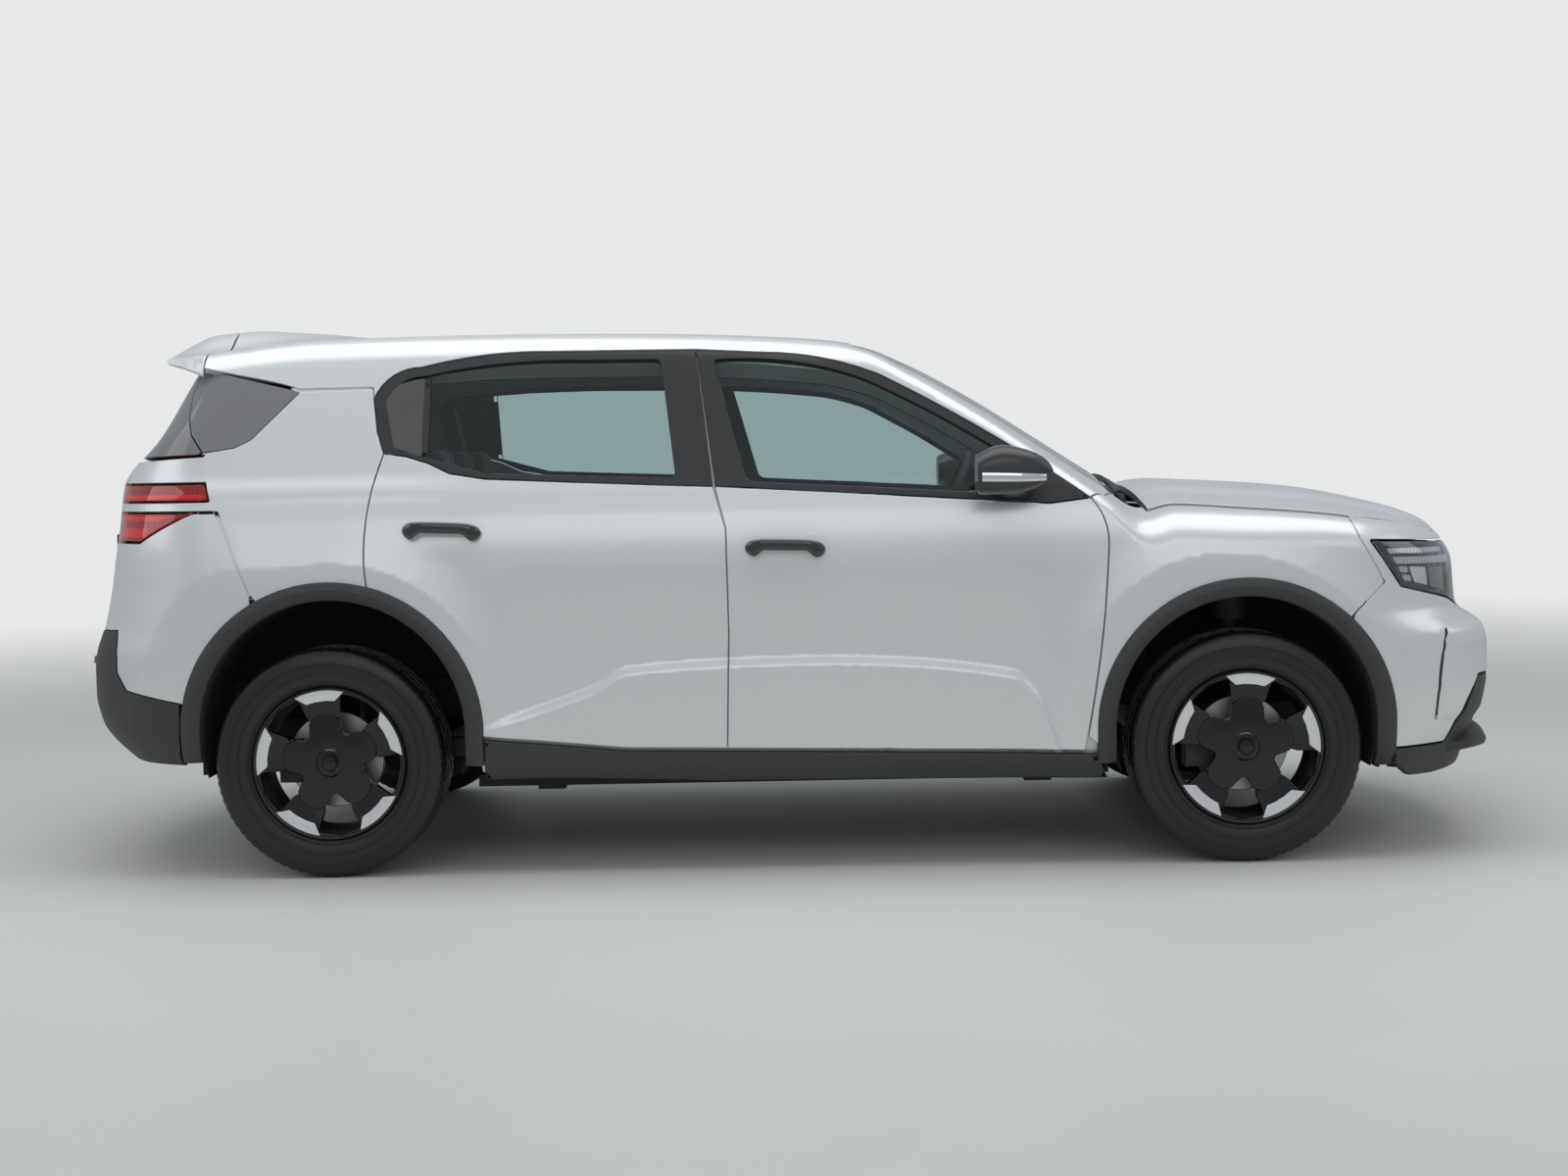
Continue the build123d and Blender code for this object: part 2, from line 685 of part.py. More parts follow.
with BuildPart() as sill_trim:
    add(shell(-4, 40))
    add(side_cut(side_polygon(*sill_edge), near=760), mode=Mode.INTERSECT)
    with Locations((-2, 0, 0), (0, 0, 0), (2, 0, 0)):
        add(arch_trims.part, mode=Mode.SUBTRACT)
with BuildPart() as side_cladding:
    add(arch_trims.part)
    add(sill_trim.part)
save_pair(side_cladding.part, "side_cladding")

# ---- wheels, tyres and knuckles ----------------------------------------------------------------
hub_bore = 31
stub_radius = 30.5
disc_radius = 142


def wheel_plane(x):
    return Plane(origin=(x, -track_half, tyre_radius), x_dir=(0, 1, 0), z_dir=(1, 0, 0))


def wheel_axis(x):
    return Axis((x, 0, tyre_radius), (0, 1, 0))


def tyre_part(x):
    """Tyre section turned about the wheel's axis."""
    bead = rim_radius - 4
    tread = tyre_radius
    with BuildPart() as tyre:
        with BuildSketch(wheel_plane(x)):
            with BuildLine():
                Polyline((-86, bead), (-78, bead), (-78, bead + 14), (78, bead + 14), (78, bead), (86, bead))
                ThreePointArc((86, bead), (tyre_width / 2, 282), (97, tread - 16))
                ThreePointArc((97, tread - 16), (88, tread - 5), (74, tread))
                Line((74, tread), (-74, tread))
                ThreePointArc((-74, tread), (-88, tread - 5), (-97, tread - 16))
                ThreePointArc((-97, tread - 16), (-tyre_width / 2, 282), (-86, bead))
            make_face()
        revolve(axis=wheel_axis(x))
    return tyre.part


def rim_part(x):
    """Rim barrel, hub and a pierced face, with the brake disc carried behind the hub."""
    lip = rim_radius - 4
    with BuildPart() as rim:
        with BuildSketch(wheel_plane(x)):
            with BuildLine():
                Polyline(
                    (-88, lip), (-88, 205), (-60, 196), (60, 190), (88, 203), (88, lip), (78, lip),
                    (78, 206), (60, 198), (-60, 204), (-78, 210), (-78, lip), close=True,
                )
            make_face()
            with BuildLine():
                Polyline(
                    (-80, 200), (-72, 120), (-80, 60), (-80, 0), (-62, 0), (-62, hub_bore), (27, hub_bore),
                    (27, disc_radius), (5, disc_radius), (5, 60), (-50, 66), (-52, 120), (-58, 200),
                    close=True,
                )
            make_face()
        revolve(axis=wheel_axis(x))
        with BuildSketch(SIDE.offset(track_half + 40)):
            with Locations((x, tyre_radius)):
                with PolarLocations(160, 5, start_angle=54):
                    Rectangle(36, 62)
        extrude(amount=100, mode=Mode.SUBTRACT)
    return rim.part


def side_bar(*points, near, far):
    """A solid with a straight-sided outline in side view, between two widths."""
    with BuildPart() as bar:
        with BuildSketch(SIDE.offset(near)):
            with BuildLine():
                Polyline(*points, close=True)
            make_face()
        extrude(amount=far - near)
    return bar.part


def hub_carrier(x, arm_top, arm_low):
    """The plate behind the brake disc, its stub axle and the caliper over the disc's rear edge."""
    hub = (x, tyre_radius)
    back = track_half - 37
    with BuildPart() as caliper:
        with BuildSketch(SIDE.offset(back - 16)):
            with Locations((x - 128, tyre_radius)):
                Rectangle(72, 130)
        extrude(amount=68)
        add(circle_cut(hub, disc_radius + 8, back - 6, back + 44), mode=Mode.SUBTRACT)
    with BuildPart() as carrier:
        add(caliper.part)
        add(circle_cut(hub, stub_radius, back - 38, track_half + 60))
        add(circle_cut(hub, 58, back - 38, back))
        add(side_bar((x - 34, arm_low), (x + 34, arm_low), (x + 30, arm_top), (x - 30, arm_top),
                     near=back - 30, far=back - 4))
        add(box_part(x - 150, x, -(back - 8), -(back - 26), tyre_radius - 22, tyre_radius + 22))
    return carrier.part


def knuckle_part():
    x = front_axle_x
    with BuildPart() as knuckle:
        add(hub_carrier(x, 490, 226))
        add(box_part(x - 28, x + 28, -724, -600, 455, 490))
        add(box_part(x - 28, x + 28, -640, -600, 455, 556))
    return knuckle.part


for end, x in (("front", front_axle_x), ("rear", rear_axle_x)):
    save_sides(tyre_part(x), f"{end}_right_tyre", f"{end}_left_tyre")
    save_sides(rim_part(x), f"{end}_right_wheel", f"{end}_left_wheel")
save_sides(knuckle_part(), "front_right_knuckle", "front_left_knuckle")

# ---- suspension, axle and power unit -----------------------------------------------------------
strut_y = 598
with BuildPart() as front_corner_parts:
    x = front_axle_x
    with BuildSketch(TOP.offset(190)):
        with BuildLine():
            Polyline((x - 13, -724), (x + 13, -724), (x + 32, -670), (x + 40, -600), (x + 130, -470),
                     (x + 130, -400), (x - 130, -400), (x - 130, -470), (x - 40, -600), (x - 32, -670),
                     close=True)
        make_face()
    extrude(amount=26)
    with BuildSketch(TOP.offset(562)):
        with Locations((x, -strut_y)):
            Circle(26)
    extrude(amount=935 - 562)
    with BuildSketch(TOP.offset(695)):
        with Locations((x, -strut_y)):
            Circle(62)
    extrude(amount=200)
with BuildPart() as front_suspension:
    add(front_corner_parts.part)
    mirror(about=Plane.XZ)
    add(box_part(front_axle_x - 170, front_axle_x + 170, -410, 410, 176, 226))
    add(box_part(front_axle_x - 170, front_axle_x - 110, -370, 370, 226, 262))
save(front_suspension.part, "front_suspension")

with BuildPart() as rear_corner_parts:
    add(hub_carrier(rear_axle_x, 400, 270))
    add(circle_cut((rear_axle_x, tyre_radius), 58, 600, 720))
    add(side_bar((-880, 330), (-880, 380), (-1290, 370), (-1370, 330), (-1370, 300), (-1290, 300),
                 near=590, far=645))
    with BuildSketch(TOP.offset(330)):
        with Locations((-1250, -552)):
            Circle(54)
    extrude(amount=165)
    add(box_part(-1310, -1190, -640, -498, 305, 330))
with BuildPart() as rear_axle:
    add(rear_corner_parts.part)
    mirror(about=Plane.XZ)
    add(box_part(-1130, -1040, -650, 650, 320, 372))
save(rear_axle.part, "rear_axle")

with BuildPart() as power_unit:
    add(box_part(1110, 1760, -350, 350, 290, 880))
save(power_unit.part, "power_unit")

# ---- floor, bulkheads and wheelhouses ----------------------------------------------------------
floor_z = 246
load_floor_z = 690
jack_places = (-700, 740)


def wheelhouse(centre, foot_rear, foot_front):
    """Half-round liner over a wheel, with straight feet."""
    x, z = centre
    with BuildPart() as liner:
        with BuildSketch(SIDE.offset(liner_y)):
            with Locations(centre):
                Circle(liner_out)
            with Locations((x - liner_out + 10, (z + foot_rear) / 2)):
                Rectangle(20, z - foot_rear)
            with Locations((x + liner_out - 10, (z + foot_front) / 2)):
                Rectangle(20, z - foot_front)
            with Locations(centre):
                Circle(liner_in, mode=Mode.SUBTRACT)
            with Locations((x, z - 250)):
                Rectangle(2 * liner_in, 500, mode=Mode.SUBTRACT)
            with Locations((x + liner_out, foot_front - 100)):
                Rectangle(60, 200, mode=Mode.SUBTRACT)
        extrude(amount=788 - liner_y)
    return liner.part


with BuildPart() as floor_right:
    add(box_part(-915, 925, -752, 0, floor_z, floor_z + 36))
    add(box_part(925, 985, -478, 0, floor_z, floor_z + 36))
    add(box_part(960, 985, -478, 0, floor_z, 1020))
    add(box_part(908, 935, -752, -460, floor_z, 890))
    add(box_part(908, 985, -645, 0, 985, 1015))
    add(box_part(908, 985, -478, -460, floor_z, 1020))
    add(box_part(-745, -715, -752, 0, floor_z, 530))
    add(box_part(-915, -715, -752, 0, 500, 530))
    add(box_part(-985, -900, -480, 0, 500, 530))
    add(box_part(925, 1960, -450, -380, 420, 545))
    add(box_part(1930, 1965, -600, 0, 400, 690))
    add(box_part(1965, 2025, -600, 0, 460, 560))
    add(box_part(925, 1750, -455, -440, 545, 950))
    add(box_part(1240, 1430, -700, -440, 935, 950))
    add(wheelhouse(front_arch, 262, 262))
    for x in jack_places:
        add(box_part(x - 40, x + 40, -745, -695, floor_z - 12, floor_z))
    with BuildSketch(TOP.offset(600)):
        with Locations((front_axle_x, -strut_y)):
            Circle(75)
    extrude(amount=330, mode=Mode.SUBTRACT)
with BuildPart() as floor_pan:
    add(floor_right.part)
    mirror(about=Plane.XZ)
save(floor_pan.part, "floor_pan")

with BuildPart() as load_floor_right:
    add(box_part(-1010, -985, -480, 0, 500, load_floor_z))
    add(box_part(-1925, -1010, -490, 0, load_floor_z - 25, load_floor_z))
    add(box_part(-1925, -1900, -570, 0, 330, load_floor_z))
    add(box_part(-1880, -1480, -300, 0, 330, load_floor_z - 25))
    add(wheelhouse(rear_arch, 300, 395))
    add(side_bar((-1715, 426), (-1715, 700), (-930, 700), (-930, 500), (-930, 426), near=482, far=490))
    add(box_part(-1310, -1190, -610, -485, 495, 515))
with BuildPart() as load_floor:
    add(load_floor_right.part)
    mirror(about=Plane.XZ)
save(load_floor.part, "load_floor")

# ---- cabin -------------------------------------------------------------------------------------
with BuildPart() as dashboard:
    with BuildSketch(SIDE):
        with BuildLine():
            Polyline((640, 780), (610, 900), (650, 1010), (760, 1070), (880, 1050), (900, 800), (820, 720),
                     close=True)
        make_face()
        fillet(vertices(), 22)
    extrude(amount=640, both=True)
    add(box_part(-100, 700, -105, 105, floor_z + 36, 560))
    add(box_part(630, 760, -105, 105, 500, 800))
save(dashboard.part, "dashboard")

wheel_tilt = 25
steering_plane = Plane(
    origin=(560, 360, 1050),
    x_dir=(0, 1, 0),
    z_dir=(-math.cos(math.radians(wheel_tilt)), 0, math.sin(math.radians(wheel_tilt))),
)
with BuildPart() as steering_wheel:
    with BuildSketch(Plane(steering_plane.origin, x_dir=steering_plane.z_dir, z_dir=(0, 1, 0))):
        with Locations((0, 165)):
            Ellipse(15, 16)
    revolve(axis=Axis(steering_plane.origin, steering_plane.z_dir))
    with BuildSketch(steering_plane.offset(-18)):
        Rectangle(320, 44)
        Circle(62)
    extrude(amount=26)
    with BuildSketch(steering_plane.offset(-130)):
        Circle(34)
    extrude(amount=120)
    add(dashboard.part, mode=Mode.SUBTRACT)
save(steering_wheel.part, "steering_wheel")

with BuildPart() as front_seat:
    add(side_bar((-60, 500), (440, 520), (450, 620), (400, 650), (-20, 600), near=120, far=600))
    add(side_bar((-90, 500), (0, 500), (30, 620), (-180, 1150), (-230, 1180), (-290, 1150), near=120, far=600))
    add(side_bar((-215, 1170), (-185, 1230), (-200, 1345), (-250, 1365), (-300, 1330), (-285, 1170),
                 near=235, far=485))
    add(box_part(-20, 380, -560, -520, floor_z + 36, 505))
    add(box_part(-20, 380, -200, -160, floor_z + 36, 505))
save_pair(front_seat.part, "front_seats")

with BuildPart() as rear_seat:
    add(box_part(-880, -440, -620, 620, 530, 680))
    with BuildSketch(SIDE):
        with BuildLine():
            Polyline((-830, 675), (-960, 710), (-1110, 1130), (-1080, 1160), (-1010, 1160), close=True)
        make_face()
    extrude(amount=620, both=True)
    with BuildSketch(TOP.offset(1150)):
        with GridLocations(0, 390, 1, 3):
            with Locations((-1060, 0)):
                Rectangle(80, 240)
    extrude(amount=110)
save(rear_seat.part, "rear_seat")
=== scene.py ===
import math
import bmesh
import bpy
import numpy as np
from mathutils import Matrix, Vector
from mathutils.geometry import delaunay_2d_cdt


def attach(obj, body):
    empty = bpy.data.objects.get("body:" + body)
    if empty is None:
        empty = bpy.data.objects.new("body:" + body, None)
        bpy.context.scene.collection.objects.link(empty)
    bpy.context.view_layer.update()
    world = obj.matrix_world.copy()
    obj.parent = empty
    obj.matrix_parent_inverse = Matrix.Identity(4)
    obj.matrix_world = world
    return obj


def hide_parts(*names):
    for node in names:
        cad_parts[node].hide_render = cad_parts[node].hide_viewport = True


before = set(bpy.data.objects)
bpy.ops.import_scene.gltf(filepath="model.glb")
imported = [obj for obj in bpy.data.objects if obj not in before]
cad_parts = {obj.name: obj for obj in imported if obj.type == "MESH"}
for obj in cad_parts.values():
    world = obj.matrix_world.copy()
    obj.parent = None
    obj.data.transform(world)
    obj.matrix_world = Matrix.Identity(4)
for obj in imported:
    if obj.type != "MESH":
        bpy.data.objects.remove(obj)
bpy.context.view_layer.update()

# ---- studio -----------------------------------------------------------------------------------
# A plain hall: a pale smooth floor, a pale surround and soft boxes above and beside the car.
# Shader sums are written as Python sums: Wire wraps one socket, Finish one material.


class Wire:
    """One output socket in a material; arithmetic on it adds Math nodes."""

    def __init__(self, finish, socket):
        self.finish = finish
        self.socket = socket

    def sum(self, operation, left, right):
        return self.finish.node("Math", {"operation": operation}, {0: left, 1: right})

    def __add__(self, other):
        return self.sum("ADD", self, other)

    def __radd__(self, other):
        return self.sum("ADD", other, self)

    def __sub__(self, other):
        return self.sum("SUBTRACT", self, other)

    def __rsub__(self, other):
        return self.sum("SUBTRACT", other, self)

    def __mul__(self, other):
        return self.sum("MULTIPLY", self, other)

    def __rmul__(self, other):
        return self.sum("MULTIPLY", other, self)

    def __truediv__(self, other):
        return self.sum("DIVIDE", self, other)

    def __pow__(self, other):
        return self.sum("POWER", self, other)

    def above(self, edge, softness):
        """0 below the edge, 1 above it, over a soft width."""
        settings = {"interpolation_type": "SMOOTHSTEP"}
        limits = {0: self, 1: edge - softness, 2: edge + softness}
        return self.finish.node("MapRange", settings, limits)


class Finish:
    """A material whose main shader takes fixed values here and varying ones through feed."""

    def __init__(self, name, colour, **fixed):
        self.material = bpy.data.materials.new(name)
        self.material.use_nodes = True
        self.tree = self.material.node_tree
        self.shader = self.tree.nodes["Principled BSDF"]
        self.shader.inputs["Base Color"].default_value = (*colour, 1)
        self.material.diffuse_color = (*colour, 1)
        for name, value in fixed.items():
            self.shader.inputs[name.replace("_", " ")].default_value = value

    def feed(self, socket, value):
        if isinstance(value, Wire):
            self.tree.links.new(value.socket, socket)
        elif isinstance(value, tuple) and len(value) == 3 and len(socket.default_value) == 4:
            socket.default_value = (*value, 1)
        else:
            socket.default_value = value

    def node(self, kind, settings=(), sockets=(), output=0):
        made = self.tree.nodes.new("ShaderNode" + kind)
        for name, value in dict(settings).items():
            if name == "stops":
                ramp = made.color_ramp
                while len(ramp.elements) < len(value):
                    ramp.elements.new(0.5)
                for element, (place, colour) in zip(ramp.elements, value):
                    element.position = place
                    element.color = (*colour, 1)
            else:
                setattr(made, name, value)
        for name, value in dict(sockets).items():
            self.feed(made.inputs[name], value)
        return Wire(self, made.outputs[output])

    def place(self):
        """Object coordinates in metres."""
        return self.node("TexCoord", output=3)

    def axis(self, index):
        return self.node("SeparateXYZ", (), {0: self.place()}, output=index)

    def noise(self, scale, detail=2, roughness=0.5):
        sockets = {"Vector": self.place(), "Scale": scale, "Detail": detail, "Roughness": roughness}
        return self.node("TexNoise", (), sockets)

    def blend(self, factor, first, second):
        sockets = {0: factor, 6: first, 7: second}
        return self.node("Mix", {"data_type": "RGBA"}, sockets, output=2)

    def bump(self, height, strength, distance):
        sockets = {"Height": height, "Strength": strength, "Distance": distance}
        return self.node("Bump", (), sockets)

    def set(self, **varying):
        for name, value in varying.items():
            self.feed(self.shader.inputs[name.replace("_", " ")], value)
        return self


def bare_mesh(name, points, faces):
    mesh = bpy.data.meshes.new(name)
    mesh.from_pydata([tuple(p) for p in points], [], faces)
    mesh.validate()
    piece = bpy.data.objects.new(name, mesh)
    bpy.context.scene.collection.objects.link(piece)
    return piece


scene = bpy.context.scene
scene.view_settings.view_transform = "Standard"

hall = 60
studio_floor = bare_mesh(
    "studio_floor", [(-hall, -hall, 0), (hall, -hall, 0), (hall, hall, 0), (-hall, hall, 0)], [(0, 1, 2, 3)]
)
floor_finish = Finish("studio_floor", (0.62, 0.64, 0.60), Roughness=0.55)
floor_shade = floor_finish.noise(0.9, 4)
floor_finish.set(Base_Color=floor_finish.blend(floor_shade, (0.66, 0.68, 0.63), (0.72, 0.73, 0.69)))
hall_light = (0.87, 0.885, 0.88)
from_car = floor_finish.node("VectorMath", {"operation": "LENGTH"}, {0: floor_finish.place()}, output=1)
far_floor = floor_finish.node("Emission", (), {"Color": hall_light, "Strength": 0.92})
camera_only = floor_finish.node("LightPath")
fading = camera_only * from_car.above(8.0, 4.5)
cove = floor_finish.node("MixShader", (), {0: fading, 1: Wire(floor_finish, floor_finish.shader.outputs[0]),
                                           2: far_floor})
floor_out = floor_finish.tree.nodes["Material Output"]
floor_finish.tree.links.new(cove.socket, floor_out.inputs["Surface"])
studio_floor.data.materials.append(floor_finish.material)

world = bpy.data.worlds.new("hall")
scene.world = world
world.use_nodes = True
world_nodes = world.node_tree.nodes
world_links = world.node_tree.links
surround = world_nodes["Background"]
surround.inputs["Color"].default_value = (0.90, 0.94, 1.0, 1)
surround.inputs["Strength"].default_value = 0.45
backdrop = world_nodes.new("ShaderNodeBackground")
backdrop.inputs["Color"].default_value = (*hall_light, 1)
backdrop.inputs["Strength"].default_value = 0.92
seen = world_nodes.new("ShaderNodeLightPath")
either = world_nodes.new("ShaderNodeMixShader")
world_links.new(seen.outputs["Is Camera Ray"], either.inputs[0])
world_links.new(surround.outputs[0], either.inputs[1])
world_links.new(backdrop.outputs[0], either.inputs[2])
world_links.new(either.outputs[0], world_nodes["World Output"].inputs["Surface"])


def soft_box(name, place, aim, size, power):
    light = bpy.data.lights.new(name, "AREA")
    light.shape = "RECTANGLE"
    light.size, light.size_y = size
    light.energy = power
    lamp = bpy.data.objects.new(name, light)
    lamp.location = place
    lamp.rotation_euler = (Vector(aim) - Vector(place)).to_track_quat("-Z", "Y").to_euler()
    scene.collection.objects.link(lamp)


soft_box("overhead_box", (0, -0.6, 4.6), (0, 0, 0), (7.5, 3.2), 120)
soft_box("near_side_box", (0.4, -7.5, 4.4), (0, 0, 0.7), (9.0, 2.6), 72)
soft_box("nose_box", (6.5, -1.5, 3.6), (1.5, 0, 0.6), (3.0, 3.0), 30)
soft_box("tail_box", (-6.5, -1.5, 3.6), (-1.5, 0, 0.6), (3.0, 3.0), 30)

camera = bpy.data.objects.new("camera", bpy.data.cameras.new("camera"))
camera.data.lens = 48.78
camera.data.sensor_width = 36
ahead = Vector((-0.01308, 0.99819, -0.05867))
upward = Vector((0.01923, 0.05891, 0.99808))
sideways = ahead.cross(upward).normalized()
upward = sideways.cross(ahead)
turn = Matrix((sideways, upward, -ahead)).transposed().to_4x4()
camera.matrix_world = Matrix.Translation((0.0748, -6.9975, 1.1856)) @ turn
scene.collection.objects.link(camera)
scene.camera = camera

# ---- outer form -------------------------------------------------------------------------------
# The pressed skin that every outer panel is cut from: plan outline, crown line and the soft
# reliefs pressed into the sides. Lengths are drawn from mid-wheelbase and moved by to_row.
mid_wheelbase = -0.0075
level_heights = (0.215, 0.33, 0.45, 0.56, 0.65, 0.73, 0.86, 0.94, 1.03, 1.10, 1.16, 1.30, 1.45, 1.66)
level_halves = (0.800, 0.866, 0.874, 0.880, 0.884, 0.885, 0.884, 0.880, 0.864, 0.838, 0.808, 0.752, 0.690,
                0.594)
level_tails = (1.850, 2.060, 2.165, 2.185, 2.176, 2.150, 2.122, 2.110, 2.095, 2.086, 2.076, 1.960, 1.866,
               1.740)
level_noses = (1.900, 2.135, 2.180, 2.195, 2.180, 2.105, 2.092, 2.070, 2.045, 2.020, 2.000, 2.0, 2.0, 2.0)
crown_places = (
    -2.3, -1.7, -1.395, -0.88, -0.345, -0.05, 0.154, 0.26, 0.387, 0.577, 0.788, 0.946, 1.06, 1.15,
    1.339, 1.62, 1.854, 2.0, 2.07, 2.3,
)
crown_heights = (
    1.510, 1.577, 1.606, 1.611, 1.602, 1.589, 1.574, 1.556, 1.505, 1.402, 1.268, 1.165, 1.095, 1.103,
    1.094, 1.071, 1.024, 0.978, 0.935, 0.80,
)
crown_drops = (
    0.07, 0.07, 0.07, 0.07, 0.07, 0.075, 0.085, 0.11, 0.14, 0.15, 0.15, 0.15, 0.14, 0.12, 0.12, 0.12,
    0.12, 0.12, 0.12, 0.12,
)


def fair_curve(places, values):
    """A smooth curve through points that never swings past them."""
    x = np.array(places)
    y = np.array(values)
    step = np.diff(x)
    rise = np.diff(y) / step
    slope = np.zeros(len(x))
    slope[0], slope[-1] = rise[0], rise[-1]
    same = rise[:-1] * rise[1:] > 0
    first = 2 * step[1:] + step[:-1]
    second = step[1:] + 2 * step[:-1]
    with np.errstate(divide="ignore", invalid="ignore"):
        mean = (first + second) / (first / rise[:-1] + second / rise[1:])
    slope[1:-1] = np.where(same, mean, 0)

    def at(place):
        place = np.clip(place, x[0], x[-1])
        k = np.clip(np.searchsorted(x, place) - 1, 0, len(step) - 1)
        t = (place - x[k]) / step[k]
        low = (1 + 2 * t) * (1 - t) ** 2 * y[k] + t * (1 - t) ** 2 * step[k] * slope[k]
        high = t * t * (3 - 2 * t) * y[k + 1] + t * t * (t - 1) * step[k] * slope[k + 1]
        return low + high

    return at


half_width = fair_curve(level_heights, level_halves)
tail_fair = fair_curve(level_heights, level_tails)
nose_fair = fair_curve(level_heights, level_noses)
crown_height = fair_curve(crown_places, crown_heights)


def tail_reach(z):
    return np.minimum(tail_fair(z), 2.1812)


def nose_reach(z):
    return np.minimum(nose_fair(z), 2.1885)


crown_drop = fair_curve(crown_places, crown_drops)
edge_radius = fair_curve((-2.0, 0.1, 0.3, 0.9, 1.1, 2.0), (0.062, 0.062, 0.03, 0.03, 0.075, 0.07))
ridge_rise = fair_curve((-1.92, -1.85, -1.77, -1.70, -1.64, -1.50, -1.28),
                        (0, 0.036, 0.059, 0.058, 0.054, 0.030, 0))


def ease(value, start, end):
    """0 before start, 1 after end, smooth between; start may be the larger."""
    t = np.clip((value - start) / (end - start), 0, 1)
    return t * t * (3 - 2 * t)


door_crease = fair_curve(
    (-0.96, -0.874, -0.563, -0.45, 0.062, 0.66, 0.72, 0.82),
    (0.40, 0.431, 0.536, 0.592, 0.612, 0.562, 0.515, 0.26)
)


def side_relief(x, z):
    """What the press adds to the side's half width: arch flares, door hollow and shoulder."""
    relief = np.zeros_like(x)
    flare_edge = np.where(x > 0, 0.472 + 0.058 * ease(x, 1.65, 1.0), 0.497 + 0.10 * ease(x, -1.40, -1.75))
    for centre_x, centre_z in ((1.335, 0.398), (-1.322, 0.426)):
        reach = np.hypot(x - centre_x, z - centre_z)
        rise = (flare_edge + 0.11 - reach) / 0.11
        rise = np.clip(0.5 * (rise + np.sqrt(rise**2 + 0.08)) - 0.02, 0, 1)
        relief = relief + 0.017 * np.clip(rise, 0, 1) ** 1.3
    door = ease(x, -1.0, -0.72) * ease(x, 0.95, 0.66)
    hollow = ease(z, 0.92, 0.64) * ease(z, door_crease(x) - 0.016, door_crease(x) + 0.022)
    relief = relief - 0.017 * door * hollow
    shoulder = ease(x, -0.75, -1.15) * ease(z, 1.185, 1.135) * ease(z, 1.085, 1.13)
    return relief + 0.005 * shoulder


def top_relief(x, y):
    """Raised middle of the bonnet and of the roof's rear end."""
    bonnet_middle = ease(x, 1.06, 1.2) * ease(x, 2.04, 1.9) * ease(y, 0.52, 0.43)
    return 0.011 * bonnet_middle + ridge_rise(x) * ease(y, 0.44, 0.29)


def round_corner(first, second, radius):
    inside = np.minimum(np.maximum(first, second), -radius)
    return inside + np.hypot(np.maximum(first + radius, 0), np.maximum(second + radius, 0))


def nose_relief(x, z):
    """The proud pad on each front corner, ahead of the upright air slot."""
    return 0.011 * ease(x, 1.905, 1.932) * ease(z, 0.385, 0.42) * ease(z, 0.70, 0.665)


def outside_by(p, with_ends=True):
    """How far a point lies outside the skin; below 0 inside."""
    x, y, z = p[..., 0], np.abs(p[..., 1]), p[..., 2]
    side = y - half_width(z) + x * x / 120 - side_relief(x, z)
    nose = x - nose_reach(z) + y * y / 4
    tail = y * y / 4 - tail_reach(z) - x
    top = z - crown_height(x) + crown_drop(x) * y * y - top_relief(x, y)
    plan = side
    if with_ends:
        plan = round_corner(side, np.maximum(nose, tail),
                            0.24 - 0.12 * ease(z, 1.16, 1.32)) - nose_relief(x, z)
    return round_corner(plan, top, edge_radius(x))


def outside_roof(p):
    """The same form run on past the glass, for the roof's overhanging rear end."""
    return outside_by(p, False)


def reach_skin(start, heading, form=outside_by, far=1.3):
    """Where rays from inside the car leave the skin."""
    near = np.zeros(len(start))
    out = np.full(len(start), far)
    for _ in range(30):
        middle = (near + out) / 2
        inside = form(start + heading * middle[:, None]) < 0
        near = np.where(inside, middle, near)
        out = np.where(inside, out, middle)
    return start + heading * ((near + out) / 2)[:, None]


def skin_normal(p, form=outside_by):
    step = 0.002
    parts = []
    for axis in np.eye(3):
        parts.append(form(p + axis * step) - form(p - axis * step))
    normal = np.stack(parts, -1)
    return normal / np.linalg.norm(normal, axis=1, keepdims=True)


class FromAbove:
    """Panels laid out in plan: (x, y), seen along z."""

    def __init__(self, form=outside_by):
        self.form = form

    def rays(self, uv):
        start = np.column_stack([uv[:, 0], uv[:, 1], np.full(len(uv), 0.6)])
        return start, np.tile((0.0, 0.0, 1.0), (len(uv), 1))

    def flat(self, p):
        return p[:, :2].copy()


class OverSide:
    """Panels of the right side: (x, way round the section), from the side over to the top."""

    radius = 0.12

    def __init__(self, form=outside_by):
        self.form = form

    def corner(self, x):
        height = crown_height(x) - 0.2
        for _ in range(3):
            width = half_width(height) - 0.16
            height = crown_height(x) - crown_drop(x) * width**2 - 0.16
        return half_width(height) - 0.16, height

    def rays(self, uv):
        x, way = uv[:, 0], uv[:, 1]
        corner_y, corner_z = self.corner(x)
        quarter = self.radius * math.pi / 2
        angle = np.clip(way, 0, quarter) / self.radius
        y = corner_y - np.maximum(way - quarter, 0)
        z = corner_z + np.minimum(way, 0)
        heading = np.column_stack([np.zeros(len(x)), -np.cos(angle), np.sin(angle)])
        return np.column_stack([x, -y, z]), heading

    def flat(self, p):
        corner_y, corner_z = self.corner(p[:, 0])
        out = -p[:, 1] - corner_y
        up = p[:, 2] - corner_z
        quarter = self.radius * math.pi / 2
        way = np.where(up < 0, up, np.where(out < 0, quarter - out, self.radius * np.arctan2(up, out)))
        return np.column_stack([p[:, 0], way])


